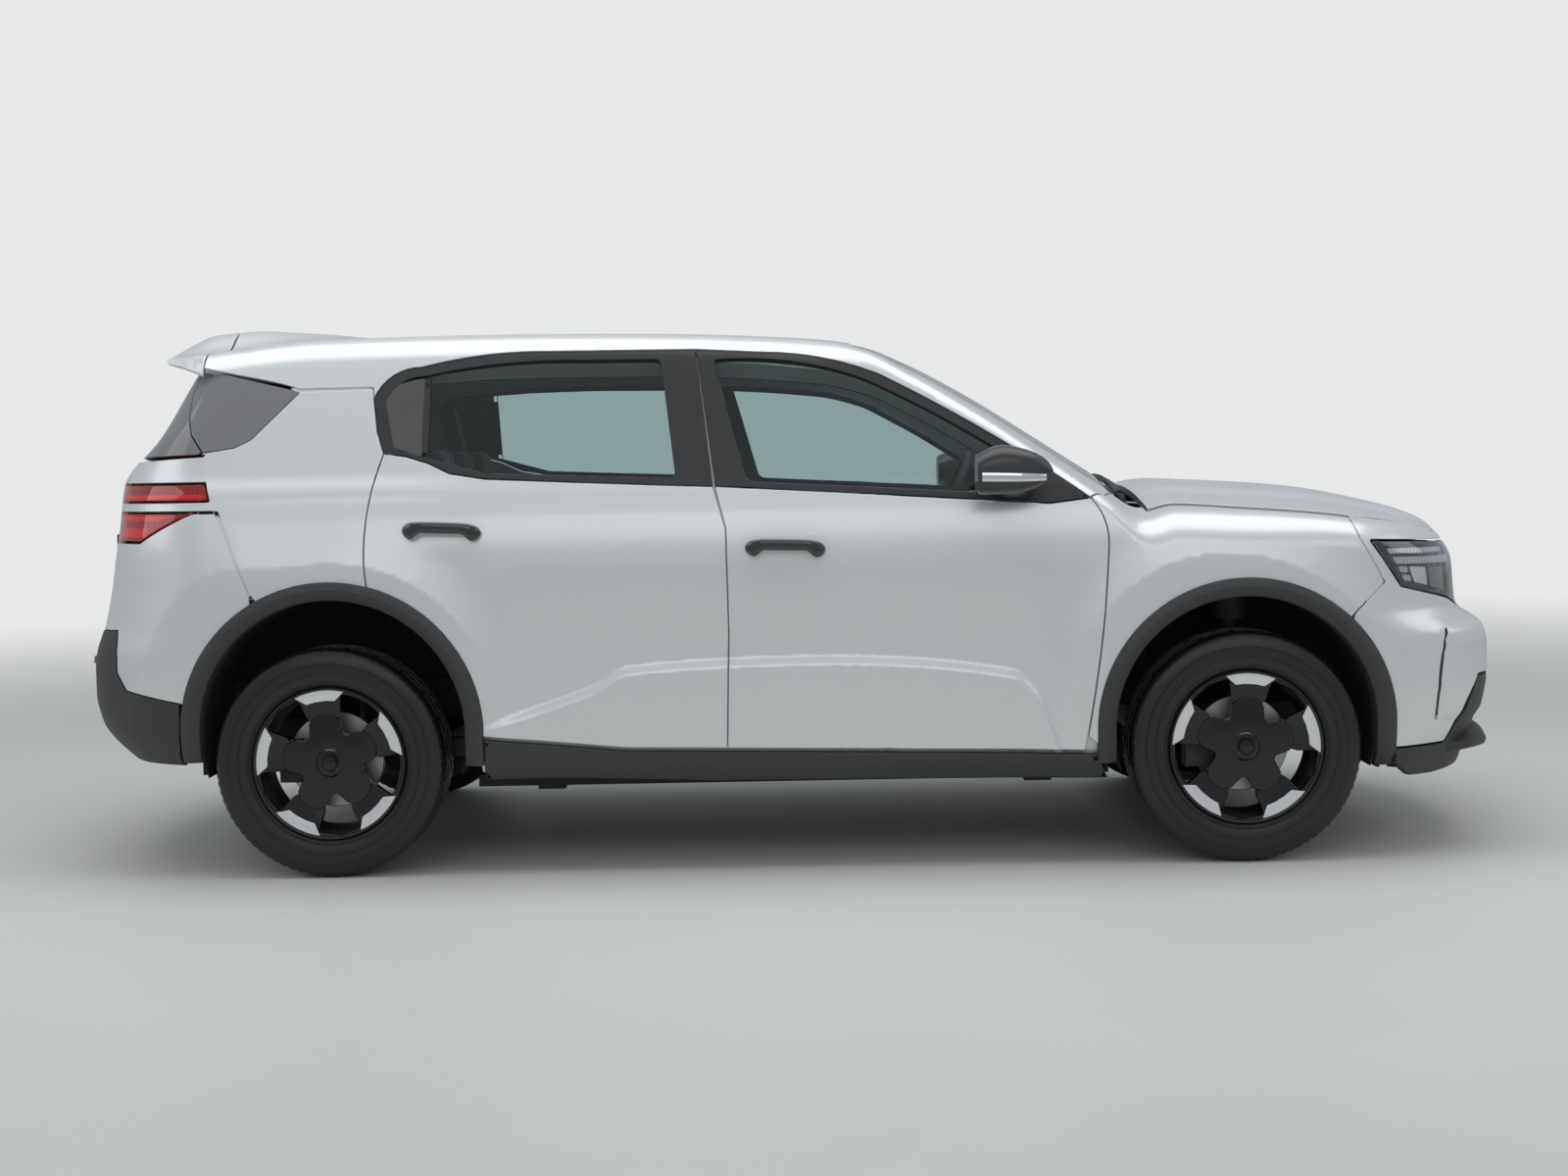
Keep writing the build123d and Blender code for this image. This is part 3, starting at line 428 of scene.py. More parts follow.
class AroundEnd:
    """Panels that wrap an end of the car: (way round from the centre line, height)."""

    radius = 0.28
    form = staticmethod(outside_by)

    def __init__(self, sign):
        self.sign = sign
        self.reach = nose_reach if sign > 0 else tail_reach

    def corner(self, z):
        return self.reach(z) - 0.36, half_width(z) - 0.3

    def rays(self, uv):
        side = np.sign(uv[:, 0] + 1e-12)
        way, z = np.abs(uv[:, 0]), uv[:, 1]
        corner_x, corner_y = self.corner(z)
        quarter = self.radius * math.pi / 2
        along = way - 0.58
        angle = np.clip(along, 0, quarter) / self.radius
        y = corner_y * np.clip(way / 0.58, 0, 1)
        x = corner_x - np.maximum(along - quarter, 0)
        heading = np.column_stack([self.sign * np.cos(angle), -side * np.sin(angle), np.zeros(len(z))])
        return np.column_stack([self.sign * x, -side * y, z]), heading

    def flat(self, p):
        side = np.where(p[:, 1] > 1e-9, -1, 1)
        corner_x, corner_y = self.corner(p[:, 2])
        ahead_of = self.sign * p[:, 0] - corner_x
        out = np.abs(p[:, 1]) - corner_y
        quarter = self.radius * math.pi / 2
        straight = 0.58 * np.abs(p[:, 1]) / corner_y
        fan = 0.58 + self.radius * np.arctan2(np.maximum(out, 0), np.maximum(ahead_of, 1e-9))
        way = np.where(out < 0, straight, np.where(ahead_of < 0, 0.58 + quarter - ahead_of, fan))
        return np.column_stack([side * way, p[:, 2]])


from_above = FromAbove()
over_side = OverSide()
roof_from_above = FromAbove(outside_roof)
roof_over_side = OverSide(outside_roof)
around_nose = AroundEnd(1)
around_tail = AroundEnd(-1)


def on_side(points, closed=False, form=outside_by):
    """Side-view points (x, z), joined by straight lines, carried onto the right-hand skin."""
    p = np.array(points, float)
    line = [p[0]]
    for a, b in zip(p, [*p[1:], p[0]] if closed else p[1:]):
        count = max(1, math.ceil(np.linalg.norm(b - a) / 0.05))
        line += [a + (b - a) * (i + 1) / count for i in range(count)]
    p = np.array(line[:-1] if closed else line)
    start = np.column_stack([p[:, 0], np.zeros(len(p)), p[:, 1]])
    return reach_skin(start, np.tile((0.0, -1.0, 0.0), (len(p), 1)), form)


def on_end(points, sign):
    """End-view points (y, z) carried onto the nose or the tail."""
    p = np.array(points, float)
    start = np.column_stack([np.full(len(p), sign * 1.2), p[:, 0], p[:, 1]])
    return reach_skin(start, np.tile((float(sign), 0.0, 0.0), (len(p), 1)))


def arc(first, middle, last, count=14):
    """Points of the circle through three points."""
    (ax, ay), (bx, by), (cx, cy) = first, middle, last
    d = 2 * (ax * (by - cy) + bx * (cy - ay) + cx * (ay - by))
    a2, b2, c2 = ax * ax + ay * ay, bx * bx + by * by, cx * cx + cy * cy
    ux = (a2 * (by - cy) + b2 * (cy - ay) + c2 * (ay - by)) / d
    uy = (a2 * (cx - bx) + b2 * (ax - cx) + c2 * (bx - ax)) / d
    begin = math.atan2(ay - uy, ax - ux)
    mid = (math.atan2(by - uy, bx - ux) - begin) % (2 * math.pi)
    end = (math.atan2(cy - uy, cx - ux) - begin) % (2 * math.pi)
    if mid > end:
        end -= 2 * math.pi
    radius = math.hypot(ax - ux, ay - uy)
    angles = [begin + end * i / count for i in range(count + 1)]
    return [(ux + radius * math.cos(t), uy + radius * math.sin(t)) for t in angles]


def rounded(points, radius):
    """A closed outline with its corners rounded and its long sides divided."""
    p = np.array(points, float)
    keep = np.linalg.norm(p - np.roll(p, 1, 0), axis=1) > 1e-6
    p = p[keep]
    out = []
    for k in range(len(p)):
        back = p[k - 1] - p[k]
        on = p[(k + 1) % len(p)] - p[k]
        lb, lo = np.linalg.norm(back), np.linalg.norm(on)
        cosine = np.clip(np.dot(back, on) / lb / lo, -1, 1)
        turning = math.pi - math.acos(cosine)
        if turning < 0.35:
            out.append(p[k])
            continue
        cut = min(radius * math.tan(turning / 2), 0.45 * lb, 0.45 * lo)
        start, end = p[k] + back / lb * cut, p[k] + on / lo * cut
        for t in np.linspace(0, 1, 6):
            out.append((1 - t) ** 2 * start + 2 * t * (1 - t) * p[k] + t * t * end)
    return np.array(out)


def divided(p, spacing):
    out = []
    for a, b in zip(p, np.roll(p, -1, 0)):
        count = max(1, math.ceil(np.linalg.norm(b - a) / spacing - 0.2))
        out += [a + (b - a) * i / count for i in range(count)]
    return np.array(out)


def moved_in(p, amount):
    """A closed outline moved to its left (inwards where it runs anticlockwise)."""
    along = np.roll(p, -1, 0) - p
    along /= np.linalg.norm(along, axis=1, keepdims=True)
    left = np.column_stack([-along[:, 1], along[:, 0]])
    before = np.roll(left, 1, 0)
    mean = left + before
    mean /= np.maximum(np.linalg.norm(mean, axis=1, keepdims=True), 1e-6)
    stretch = np.clip(np.sum(mean * left, axis=1), 0.5, 1)
    return p + mean * (amount / stretch)[:, None]


def turned(p, anticlockwise=True):
    area = np.sum(p[:, 0] * np.roll(p[:, 1], -1) - p[:, 1] * np.roll(p[:, 0], -1))
    return p if (area > 0) == anticlockwise else p[::-1]


def inside_of(q, loops):
    """Which points lie within the loops, holes left out."""
    hit = np.zeros(len(q), bool)
    for loop in loops:
        a, b = loop, np.roll(loop, -1, 0)
        for (x1, y1), (x2, y2) in zip(a, b):
            crosses = (y1 > q[:, 1]) != (y2 > q[:, 1])
            if y1 != y2:
                hit ^= crosses & (q[:, 0] < (x2 - x1) * (q[:, 1] - y1) / (y2 - y1) + x1)
    return hit


def far_from(q, loops, distance):
    clear = np.ones(len(q), bool)
    for loop in loops:
        a, b = loop, np.roll(loop, -1, 0)
        for first, last in zip(a, b):
            along = last - first
            t = np.clip(((q - first) @ along) / max(along @ along, 1e-12), 0, 1)
            clear &= np.hypot(*(q - first - t[:, None] * along).T) > distance
    return clear


def triangles(loops, spacing):
    """Fills loops in the flat with near-even triangles; loop points come first."""
    low = loops[0].min(0)
    high = loops[0].max(0)
    columns = np.arange(low[0] + spacing / 2, high[0], spacing)
    rows = np.arange(low[1] + spacing / 2, high[1], spacing * 0.866)
    gx, gy = np.meshgrid(columns, rows)
    gx[1::2] += spacing / 2
    grid = np.column_stack([gx.ravel(), gy.ravel()])
    grid = grid[inside_of(grid, loops)]
    grid = grid[far_from(grid, loops, spacing * 0.5)]
    edges = []
    count = 0
    for loop in loops:
        n = len(loop)
        edges += [(count + i, count + (i + 1) % n) for i in range(n)]
        count += n
    points = np.vstack([*loops, grid])
    made = delaunay_2d_cdt([Vector(p) for p in points], edges, [], 0, 1e-7)
    source = [origin[0] if origin else -1 for origin in made[3]]
    faces = np.array([[source[i] for i in face] for face in made[2]])
    faces = faces[(faces >= 0).all(1)]
    middles = points[faces].mean(1)
    faces = faces[inside_of(middles, loops)]
    a, b, c = (points[faces[:, i]] for i in range(3))
    turn = (b[:, 0] - a[:, 0]) * (c[:, 1] - a[:, 1]) - (b[:, 1] - a[:, 1]) * (c[:, 0] - a[:, 0])
    faces[turn < 0] = faces[turn < 0][:, ::-1]
    return points, faces


def to_row(points):
    return points + np.array((mid_wheelbase, 0, 0))


def shaded_mesh(name, points, faces, corner_normals, finish):
    """A mesh with a normal given for each corner of each face."""
    mesh = bpy.data.meshes.new(name)
    mesh.from_pydata(to_row(points).tolist(), [], faces)
    mesh.polygons.foreach_set("use_smooth", np.ones(len(faces), bool))
    mesh.materials.append(finish.material)
    mesh.normals_split_custom_set(corner_normals)
    mesh.update()
    piece = bpy.data.objects.new(name, mesh)
    bpy.context.scene.collection.objects.link(piece)
    return piece


class Panel:
    """A sheet cut from the skin: outline and holes, outer depth and inner depth."""

    def __init__(self, layout, outline, holes=(), depth=0.0, thick=0.018, spacing=0.014,
                 gap=0.0014, hem=0.0022, corner=0.006, hole_corner=None):
        self.layout = layout
        loops = []
        for k, loop in enumerate([outline, *holes]):
            flat = layout.flat(np.array(loop))
            radius = corner if k == 0 or hole_corner is None else hole_corner
            flat = turned(divided(rounded(flat, radius), spacing), k == 0)
            loops.append(moved_in(flat, gap) if gap else flat)
        inner = [moved_in(loop, hem) for loop in loops]
        flat, fill = triangles(inner, spacing)
        count = len(flat)
        rim = np.vstack(loops)
        start, heading = layout.rays(np.vstack([flat, rim]))
        skin = reach_skin(start, heading, layout.form)
        normal = skin_normal(skin, layout.form)
        face_side = skin - heading * depth
        outer, edge = face_side[:count], face_side[count:]
        n_outer, n_edge = normal[:count], normal[count:]
        inside = outer - heading[:count] * thick
        edge_top = edge - heading[count:] * hem
        edge_low = edge - heading[count:] * thick
        self.points = np.vstack([outer, edge_top, edge_low, inside])
        m = len(rim)
        tops = count + np.arange(m)
        lows = tops + m
        self.faces = [tuple(f) for f in fill]
        handed = np.cross(outer[fill[:, 1]] - outer[fill[:, 0]], outer[fill[:, 2]] - outer[fill[:, 0]])
        flip = np.sum(handed * n_outer[fill[:, 0]]) < 0
        normals = [[n_outer[i] for i in f] for f in fill]
        begin = 0
        for loop in loops:
            n = len(loop)
            ids = begin + np.arange(n)
            nxt = begin + (np.arange(n) + 1) % n
            prv = begin + (np.arange(n) - 1) % n
            along = edge[nxt] - edge[prv]
            out = np.cross(along, n_edge[ids])
            if flip:
                out = -out
            out /= np.maximum(np.linalg.norm(out, axis=1, keepdims=True), 1e-9)
            for i in range(n):
                j = (i + 1) % n
                a, b = ids[i], ids[j]
                self.faces.append((a, tops[a], tops[b], b))
                normals.append([n_outer[a], out[i], out[j], n_outer[b]])
                self.faces.append((tops[a], lows[a], lows[b], tops[b]))
                normals.append([out[i]] * 2 + [out[j]] * 2)
                self.faces.append((lows[a], count + 2 * m + a, count + 2 * m + b, lows[b]))
                normals.append([-n_edge[a]] * 2 + [-n_edge[b]] * 2)
            begin += n
        for f in fill:
            self.faces.append(tuple(count + 2 * m + i for i in f[::-1]))
            normals.append([-n_outer[i] for i in f[::-1]])
        if flip:
            self.faces = [f[::-1] for f in self.faces]
            normals = [n[::-1] for n in normals]
        self.normals = np.array([n for face in normals for n in face])

    def piece(self, name, finish, mirrored=False):
        if not mirrored:
            return shaded_mesh(name, self.points, self.faces, self.normals, finish)
        flip = np.array((1, -1, 1))
        faces = [f[::-1] for f in self.faces]
        normals = []
        at = 0
        for f in self.faces:
            normals.append((self.normals[at:at + len(f)] * flip)[::-1])
            at += len(f)
        return shaded_mesh(name, self.points * flip, faces, np.vstack(normals), finish)


def both_sides(panel, name, finish, bodies):
    """A right-hand and a left-hand piece from one panel."""
    pieces = []
    for side, mirrored in (("right", False), ("left", True)):
        piece = panel.piece(f"{name}_{side}", finish, mirrored)
        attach(piece, bodies.replace("SIDE", side))
        pieces.append(piece)
    return pieces


# ---- paint ------------------------------------------------------------------------------------
# Silver metallic paint: fine flakes in a pale grey-blue coat under clear lacquer.
paint = Finish(
    "silver_paint", (0.71, 0.735, 0.745), Metallic=0.45, Roughness=0.36, Coat_Weight=0.8,
    Coat_Roughness=0.06
)
flake = paint.noise(900, 2)
cloudy = paint.noise(1.3, 2)
paint_tone = paint.blend(flake, (0.685, 0.71, 0.72), (0.765, 0.785, 0.795))
paint.set(Base_Color=paint_tone, Roughness=0.33 + cloudy * 0.07)

# ---- bonnet -----------------------------------------------------------------------------------
# One pressed steel lid with a raised middle, hinged at its rear corners.
def fitted(piece, body, stands_for=None):
    """A finished piece put on its body; the frame node that it stands for is hidden."""
    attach(piece, body)
    if stands_for:
        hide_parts(stands_for)
    return piece


bonnet_line = [(1.078, 1.0295), (1.158, 1.045), (1.40, 1.028), (1.68, 0.997), (1.881, 0.968)]
nose_lid_z = 0.946


def crown_edge(x, z):
    """Plan points where the top of the skin passes a height, at places along the car."""
    out = []
    for place, height in zip(x, z):
        ways = np.linspace(-0.1, 0.75, 200)
        p = reach_skin(*over_side.rays(np.column_stack([np.full(200, place), ways])))
        k = np.argmax(p[:, 2] >= height)
        out.append(p[k] if p[k, 2] >= height else p[-1])
    return np.array(out)


side_line = crown_edge(*zip(*bonnet_line))
nose_ways = np.linspace(0.86, 0.0, 24)
nose_line = reach_skin(*around_nose.rays(np.column_stack([nose_ways, np.full(24, nose_lid_z)])))
nose_line = nose_line[nose_line[:, 0] > 1.93]
rear_y = side_line[0, 1]
rear_line = np.array([(1.078, y, 1.1) for y in np.linspace(0, rear_y, 20)])
right_edge = np.vstack([rear_line, side_line[1:], nose_line])
bonnet_outline = np.vstack([right_edge, (right_edge * (1, -1, 1))[::-1][1:-1]])
bonnet = Panel(from_above, bonnet_outline, thick=0.02, spacing=0.018)
fitted(bonnet.piece("bonnet_skin", paint), "bonnet", "bonnet")


# ---- front wings ------------------------------------------------------------------------------
# Pressed steel, bolted on between door, bonnet and bumper; the black arch trim covers its lower edge.
front_arch = (1.335, 0.398)
rear_arch = (-1.322, 0.426)
door_front_edge = arc((0.866, 0.337), (0.921, 0.700), (0.941, 0.935)) + arc(
    (0.941, 0.935), (0.930, 1.008), (0.893, 1.070), 6
)


def arch_arc(centre, radius, start, end, count=30):
    """Points on a wheel arch, in degrees from the front over the top."""
    angles = [math.radians(start + (end - start) * i / count) for i in range(count + 1)]
    return [(centre[0] + radius * math.cos(t), centre[1] + radius * math.sin(t)) for t in angles]


def on_top(points):
    """Plan points (x, y) carried up onto the skin."""
    return reach_skin(*roof_from_above.rays(np.array(points, float)), outside_roof)


wing_side = door_front_edge[1:]
wing_corner = on_side([(0.897, 1.074), (0.985, 1.074)])
wing_top = on_top([(0.985, -0.664), (1.072, -0.664)])
wing_lid = crown_edge(*zip((1.074, 1.0225), *[(x, z - 0.007) for x, z in bonnet_line[1:4]]))
wing_front = on_side([(1.651, 0.991), (1.667, 0.936), (1.737, 0.808), (1.650, 0.728)])
wing_arch = on_side(arch_arc(front_arch, 0.420, 46, 180) + [(0.915, 0.345)])
wing_outline = np.vstack(
    [on_side(wing_side), wing_corner, wing_top, wing_lid * (1, -1, 1) * (1, np.sign(wing_lid[0, 1]), 1),
     wing_front, wing_arch]
)
wing = Panel(over_side, wing_outline, spacing=0.010)
for piece in both_sides(wing, "wing", paint, "body"):
    if piece.name.endswith("right"):
        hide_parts("front_wings")

# ---- doors ------------------------------------------------------------------------------------
# Four doors: a silver skin, a satin black window frame, a pressed inner shell and a lined inner side.
frame_black = Finish("satin_black_frame", (0.021, 0.022, 0.024), Roughness=0.42)
frame_grain = frame_black.noise(240, 3)
frame_black.set(Roughness=0.38 + frame_grain * 0.12)
inner_trim = Finish("dark_moulded_trim", (0.035, 0.036, 0.039), Roughness=0.6)
trim_grain = inner_trim.noise(420, 2)
inner_trim.set(Normal=inner_trim.bump(trim_grain, 0.25, 0.0006))

window_line = [(-0.194, 1.122), (0.137, 1.100), (0.516, 1.073), (0.779, 1.055), (0.893, 1.069)]
front_frame_top = arc((0.893, 1.070), (0.590, 1.275), (0.290, 1.445)) + arc(
    (0.290, 1.445), (0.140, 1.493), (-0.060, 1.517), 6
)
front_skin = [(-0.171, 0.362)] + door_front_edge + window_line[-2::-1] + [(-0.163, 1.0), (-0.160, 0.7)]
front_frame = window_line[:-1] + front_frame_top + [(-0.250, 1.529)]
front_window = (
    [(-0.100, 1.137), (0.575, 1.092), (0.640, 1.208)]
    + arc((0.640, 1.208), (0.431, 1.335), (0.241, 1.432))[1:]
    + arc((0.241, 1.432), (0.097, 1.475), (-0.196, 1.495))[1:]
)
front_core = [
    (0.836, 0.376), (0.896, 0.900), (0.868, 1.030), (0.842, 1.064), (-0.076, 1.076), (-0.076, 0.395),
]
rear_window_line = [
    (-0.199, 1.122), (-0.336, 1.128), (-0.627, 1.143), (-0.865, 1.156), (-0.971, 1.174), (-1.032, 1.204),
    (-1.100, 1.226), (-1.166, 1.236),
]
rear_door_edge = arc((-1.166, 1.236), (-1.197, 1.120), (-1.204, 0.850)) + arc(
    (-1.204, 0.850), (-1.009, 0.737), (-0.881, 0.410), 16
)[1:]
rear_skin = (
    [(-0.171, 0.362), (-0.160, 0.7), (-0.163, 1.0)] + rear_window_line + rear_door_edge[1:]
    + [(-0.740, 0.395), (-0.464, 0.368)]
)
rear_frame_top = arc((-0.687, 1.532), (-0.903, 1.522), (-1.066, 1.492)) + arc(
    (-1.066, 1.492), (-1.165, 1.456), (-1.203, 1.400), 8
)[1:]
rear_frame = (
    [(-0.250, 1.529)] + rear_frame_top + [(-1.188, 1.300)] + rear_window_line[::-1]
)
rear_window = (
    [(-0.310, 1.150), (-0.868, 1.175), (-1.135, 1.250), (-1.165, 1.390)]
    + arc((-1.165, 1.390), (-1.135, 1.434), (-1.062, 1.462))[1:]
    + arc((-1.062, 1.462), (-0.848, 1.495), (-0.580, 1.502))[1:]
    + [(-0.355, 1.500)]
)
rear_core = [
    (-0.255, 0.395), (-0.255, 1.088), (-1.140, 1.088), (-1.150, 0.890), (-0.990, 0.790), (-0.850, 0.560),
    (-0.845, 0.430),
]
doors = (
    ("front", front_skin, front_frame, front_window, front_core),
    ("rear", rear_skin, rear_frame, rear_window, rear_core),
)
door_glass = Finish(
    "clear_side_glass", (0.80, 0.93, 0.90), Roughness=0.0, IOR=1.45, Transmission_Weight=1.0
)
for end, skin_edge, frame_edge, window_edge, core_edge in doors:
    body = f"{end}_SIDE_door"
    skin_panel = Panel(over_side, on_side(skin_edge, True), spacing=0.0125)
    made = both_sides(skin_panel, f"{end}_door_skin", paint, body)
    for piece in made:
        side = piece.name.rsplit("_", 1)[1]
        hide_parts(f"{end}_{side}_door")
    frame_panel = Panel(over_side, on_side(frame_edge, True), [on_side(window_edge, True)], depth=0.002,
                        thick=0.0185,
                        gap=0.0015, spacing=0.012, hole_corner=0.03)
    both_sides(frame_panel, f"{end}_door_frame", frame_black, body)
    core_panel = Panel(over_side, on_side(core_edge, True), depth=0.0185, thick=0.056, spacing=0.03, gap=0,
                       corner=0.03)
    both_sides(core_panel, f"{end}_door_shell", paint, body)
    lining = Panel(over_side, on_side(core_edge, True), depth=0.075, thick=0.022, spacing=0.03, gap=0.006,
                   hem=0.006, corner=0.03)
    both_sides(lining, f"{end}_door_lining", inner_trim, body)
    pane = Panel(over_side, on_side(window_edge, True), depth=0.010, thick=0.004, spacing=0.03, gap=-0.002,
                 hem=0.0005, corner=0.03)
    for piece in both_sides(pane, f"{end}_door_pane", door_glass, body):
        side = piece.name.rsplit("_", 1)[1]
        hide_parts(f"{end}_{side}_glass")

# ---- body sides -------------------------------------------------------------------------------
# The welded sides: rear quarters, roof rails with the screen pillars, and the painted door openings.
quarter_glass_low = [(-1.424, 1.426), (-1.565, 1.284), (-1.610, 1.262), (-1.688, 1.251), (-1.705, 1.248)]
quarter_edge = on_side(
    rear_door_edge[14::-1] + [(-1.188, 1.300), (-1.203, 1.400), (-1.204, 1.430)] + quarter_glass_low
)
gate_shoulder = on_end([(-0.615, 1.228), (-0.604, 1.178), (-0.566, 1.1605)], -1)
shoulder_way = around_tail.flat(gate_shoulder[:1])[0, 0]
ledge_ways = np.linspace(0.98, shoulder_way, 10)
ledge_heights = 1.238 - 0.010 * np.linspace(0, 1, 10)
quarter_ledge = reach_skin(*around_tail.rays(np.column_stack([ledge_ways, ledge_heights])))


def lamp_run(z, start_x, reverse=False):
    """The skin's line round the rear corner at one height, from a place on the side to the tailgate."""
    first = around_tail.flat(on_side([(start_x, z)]))[0, 0]
    last = around_tail.flat(on_end([(-0.562, z)], -1))[0, 0]
    ways = np.linspace(first, last, 24)
    line = reach_skin(*around_tail.rays(np.column_stack([ways, np.full(24, z)])))
    return line[::-1] if reverse else line


quarter_outline = np.vstack(
    [quarter_edge, quarter_ledge, gate_shoulder[1:2], lamp_run(1.162, -1.688, True),
     lamp_run(1.105, -1.670),
     lamp_run(1.078, -1.668, True), on_side([(-1.645, 1.076), (-1.548, 0.839)]),
     on_side(arch_arc(rear_arch, 0.430, 118, 76))]
)
quarter = Panel(around_tail, quarter_outline, spacing=0.011)
for piece in both_sides(quarter, "quarter_panel", paint, "body"):
    if piece.name.endswith("right"):
        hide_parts("body_sides")

rail_low = on_side(
    [(-1.428, 1.433), (-1.206, 1.434), (-1.203, 1.400)] + rear_frame_top[::-1]
    + [(-0.250, 1.529)] + front_frame_top[::-1] + [(0.897, 1.074), (0.985, 1.074)]
)
screen_edge = on_top([(0.985, -0.664)] + [(x,
                                           -0.569 - 0.095 * (x - 0.215) / 0.77) for x in np.linspace(0.92,
                                               0.28, 12)])
roof_edge = on_top([(x, -0.569) for x in np.linspace(0.215, -1.62, 30)])
rail_rear = np.vstack([on_top([(-1.697, -0.50), (-1.703, -0.57)]),
                       on_side([(-1.722, 1.545), (-1.722, 1.503)], form=outside_roof)])
rail = Panel(roof_over_side, np.vstack([rail_low, screen_edge, roof_edge, rail_rear]), gap=0.0012,
             hem=0.0012)
both_sides(rail, "roof_rail", paint, "body")

front_hole = (
    [(-0.088, 0.387), (0.848, 0.364), (0.913, 0.900), (0.888, 1.043), (0.862, 1.066)]
    + arc((0.862, 1.066), (0.575, 1.262), (0.283, 1.424))[1:]
    + [(0.135, 1.472), (-0.060, 1.497), (-0.228, 1.509), (-0.183, 1.130), (-0.088, 1.082)]
)
rear_hole = [
    (-0.247, 0.387), (-0.247, 1.082), (-0.218, 1.130), (-0.272, 1.509), (-0.687, 1.513), (-0.900, 1.503),
    (-1.058, 1.474), (-1.150, 1.442), (-1.183, 1.395), (-1.169, 1.310), (-1.155, 1.210), (-1.160, 0.885),
    (-0.998, 0.783), (-0.858, 0.556), (-0.853, 0.422),
]
ring_edge = [
    (0.944, 0.300), (0.944, 0.560), (0.975, 0.640), (0.975, 1.060), (0.600, 1.290), (0.300, 1.462),
    (0.150, 1.510), (-0.060, 1.538),
    (-0.687, 1.553), (-0.910, 1.543), (-1.080, 1.512), (-1.190, 1.470), (-1.240, 1.400), (-1.215, 1.240),
    (-1.240, 0.835), (-1.020, 0.712), (-0.910, 0.520), (-0.890, 0.300),
]
ring_holes = [on_side(front_hole, True), on_side(rear_hole, True)]
ring = Panel(over_side, on_side(ring_edge, True), ring_holes, depth=0.026, thick=0.072, spacing=0.03,
             gap=0, hem=0.004, hole_corner=0.03)
both_sides(ring, "door_openings", paint, "body")
ring_lining = Panel(over_side, on_side(ring_edge, True), ring_holes, depth=0.099, thick=0.006, spacing=0.03,
                    gap=0.002, hem=0.002, hole_corner=0.03)
both_sides(ring_lining, "pillar_linings", inner_trim, "body")

# ---- roof -------------------------------------------------------------------------------------
# One pressed panel, raised in the middle at its rear end, with a pale cloth headlining under it.
def plan_outline(right_edge):
    """A closed plan outline from its right-hand points, which run from rear to front."""
    p = np.array([(x, y, 1.0) for x, y in right_edge])
    return np.vstack([p, (p * (1, -1, 1))[::-1]])


roof_right = [(-1.697, y) for y in (0, -0.2, -0.4, -0.50)] + [(-1.60, -0.569)]
roof_right += [(x, -0.569) for x in np.linspace(-1.5, 0.215, 30)]
roof_front = [(0.215, y) for y in np.linspace(-0.5, 0, 8)]
roof = Panel(roof_from_above, plan_outline(roof_right + roof_front)[:-1], thick=0.02, spacing=0.02,
             gap=0.0012,
             hem=0.0012)
fitted(roof.piece("roof_skin", paint), "body", "roof_panel")
headlining_cloth = Finish("pale_headlining", (0.42, 0.42, 0.41), Roughness=0.95)
nap = headlining_cloth.noise(700, 3)
headlining_cloth.set(
    Base_Color=headlining_cloth.blend(nap, (0.38, 0.38, 0.37), (0.46, 0.46, 0.45)),
    Normal=headlining_cloth.bump(nap, 0.4, 0.0008),
)
lining_right = [(-1.62, y) for y in (0, -0.3, -0.54)] + [(x, -0.56) for x in np.linspace(-1.5, 0.1, 20)]
headlining = Panel(from_above, plan_outline(lining_right + [(0.17, -0.3), (0.18, 0)])[:-1], depth=0.034,
                   thick=0.012, spacing=0.05, gap=0.002)
fitted(headlining.piece("headlining", headlining_cloth), "body")

# ---- windscreen and quarter glass -------------------------------------------------------------
# Bonded laminated screen with a black printed border, and dark glass in the rear quarters.
screen_glass = Finish(
    "clear_screen_glass", (0.86, 0.95, 0.93), Roughness=0.0, IOR=1.45, Transmission_Weight=1.0
)
dark_glass = Finish(
    "dark_rear_glass", (0.30, 0.305, 0.31), Roughness=0.02, IOR=1.5, Transmission_Weight=0.30
)
printed_border = Finish("black_printed_border", (0.012, 0.012, 0.013), Roughness=0.3)
border_fleck = printed_border.noise(600, 1)
printed_border.set(Roughness=0.26 + border_fleck * 0.1)


def screen_line(inset):
    """Right-hand edge of the windscreen in plan, moved in by a width."""
    xs = np.linspace(0.219 + inset, 0.983 - inset, 24)
    edge = [(x, -(0.565 + 0.095 * (x - 0.215) / 0.77) + inset) for x in xs]
    rear = [(0.219 + inset, y) for y in np.linspace(0, edge[0][1] + 0.03, 12)]
    front = [(0.983 - inset, y) for y in np.linspace(edge[-1][1] + 0.03, 0, 12)]
    return plan_outline(rear + edge + front[:-1])


screen = Panel(from_above, screen_line(0), depth=0.004, thick=0.005, spacing=0.03, gap=0.001, hem=0.001,
               corner=0.02)
fitted(screen.piece("windscreen", screen_glass), "body", "windscreen_and_quarter_glass")
border = Panel(from_above, screen_line(0.004), [screen_line(0.045)], depth=0.0095, thick=0.002,
               spacing=0.03, gap=0, hem=0.0005, corner=0.02)
fitted(border.piece("windscreen_border", printed_border), "body")

glass_split = [(-1.738, 1.512), (-1.752, 1.470), (-1.764, 1.420), (-1.762, 1.360), (-1.745, 1.300),
               (-1.708, 1.250)]
quarter_glass_edge = quarter_glass_low[:-1] + glass_split[::-1] + [(-1.722, 1.500)]


def shrunk_side(points, amount):
    flat = turned(np.array(points, float))
    return moved_in(flat, amount)


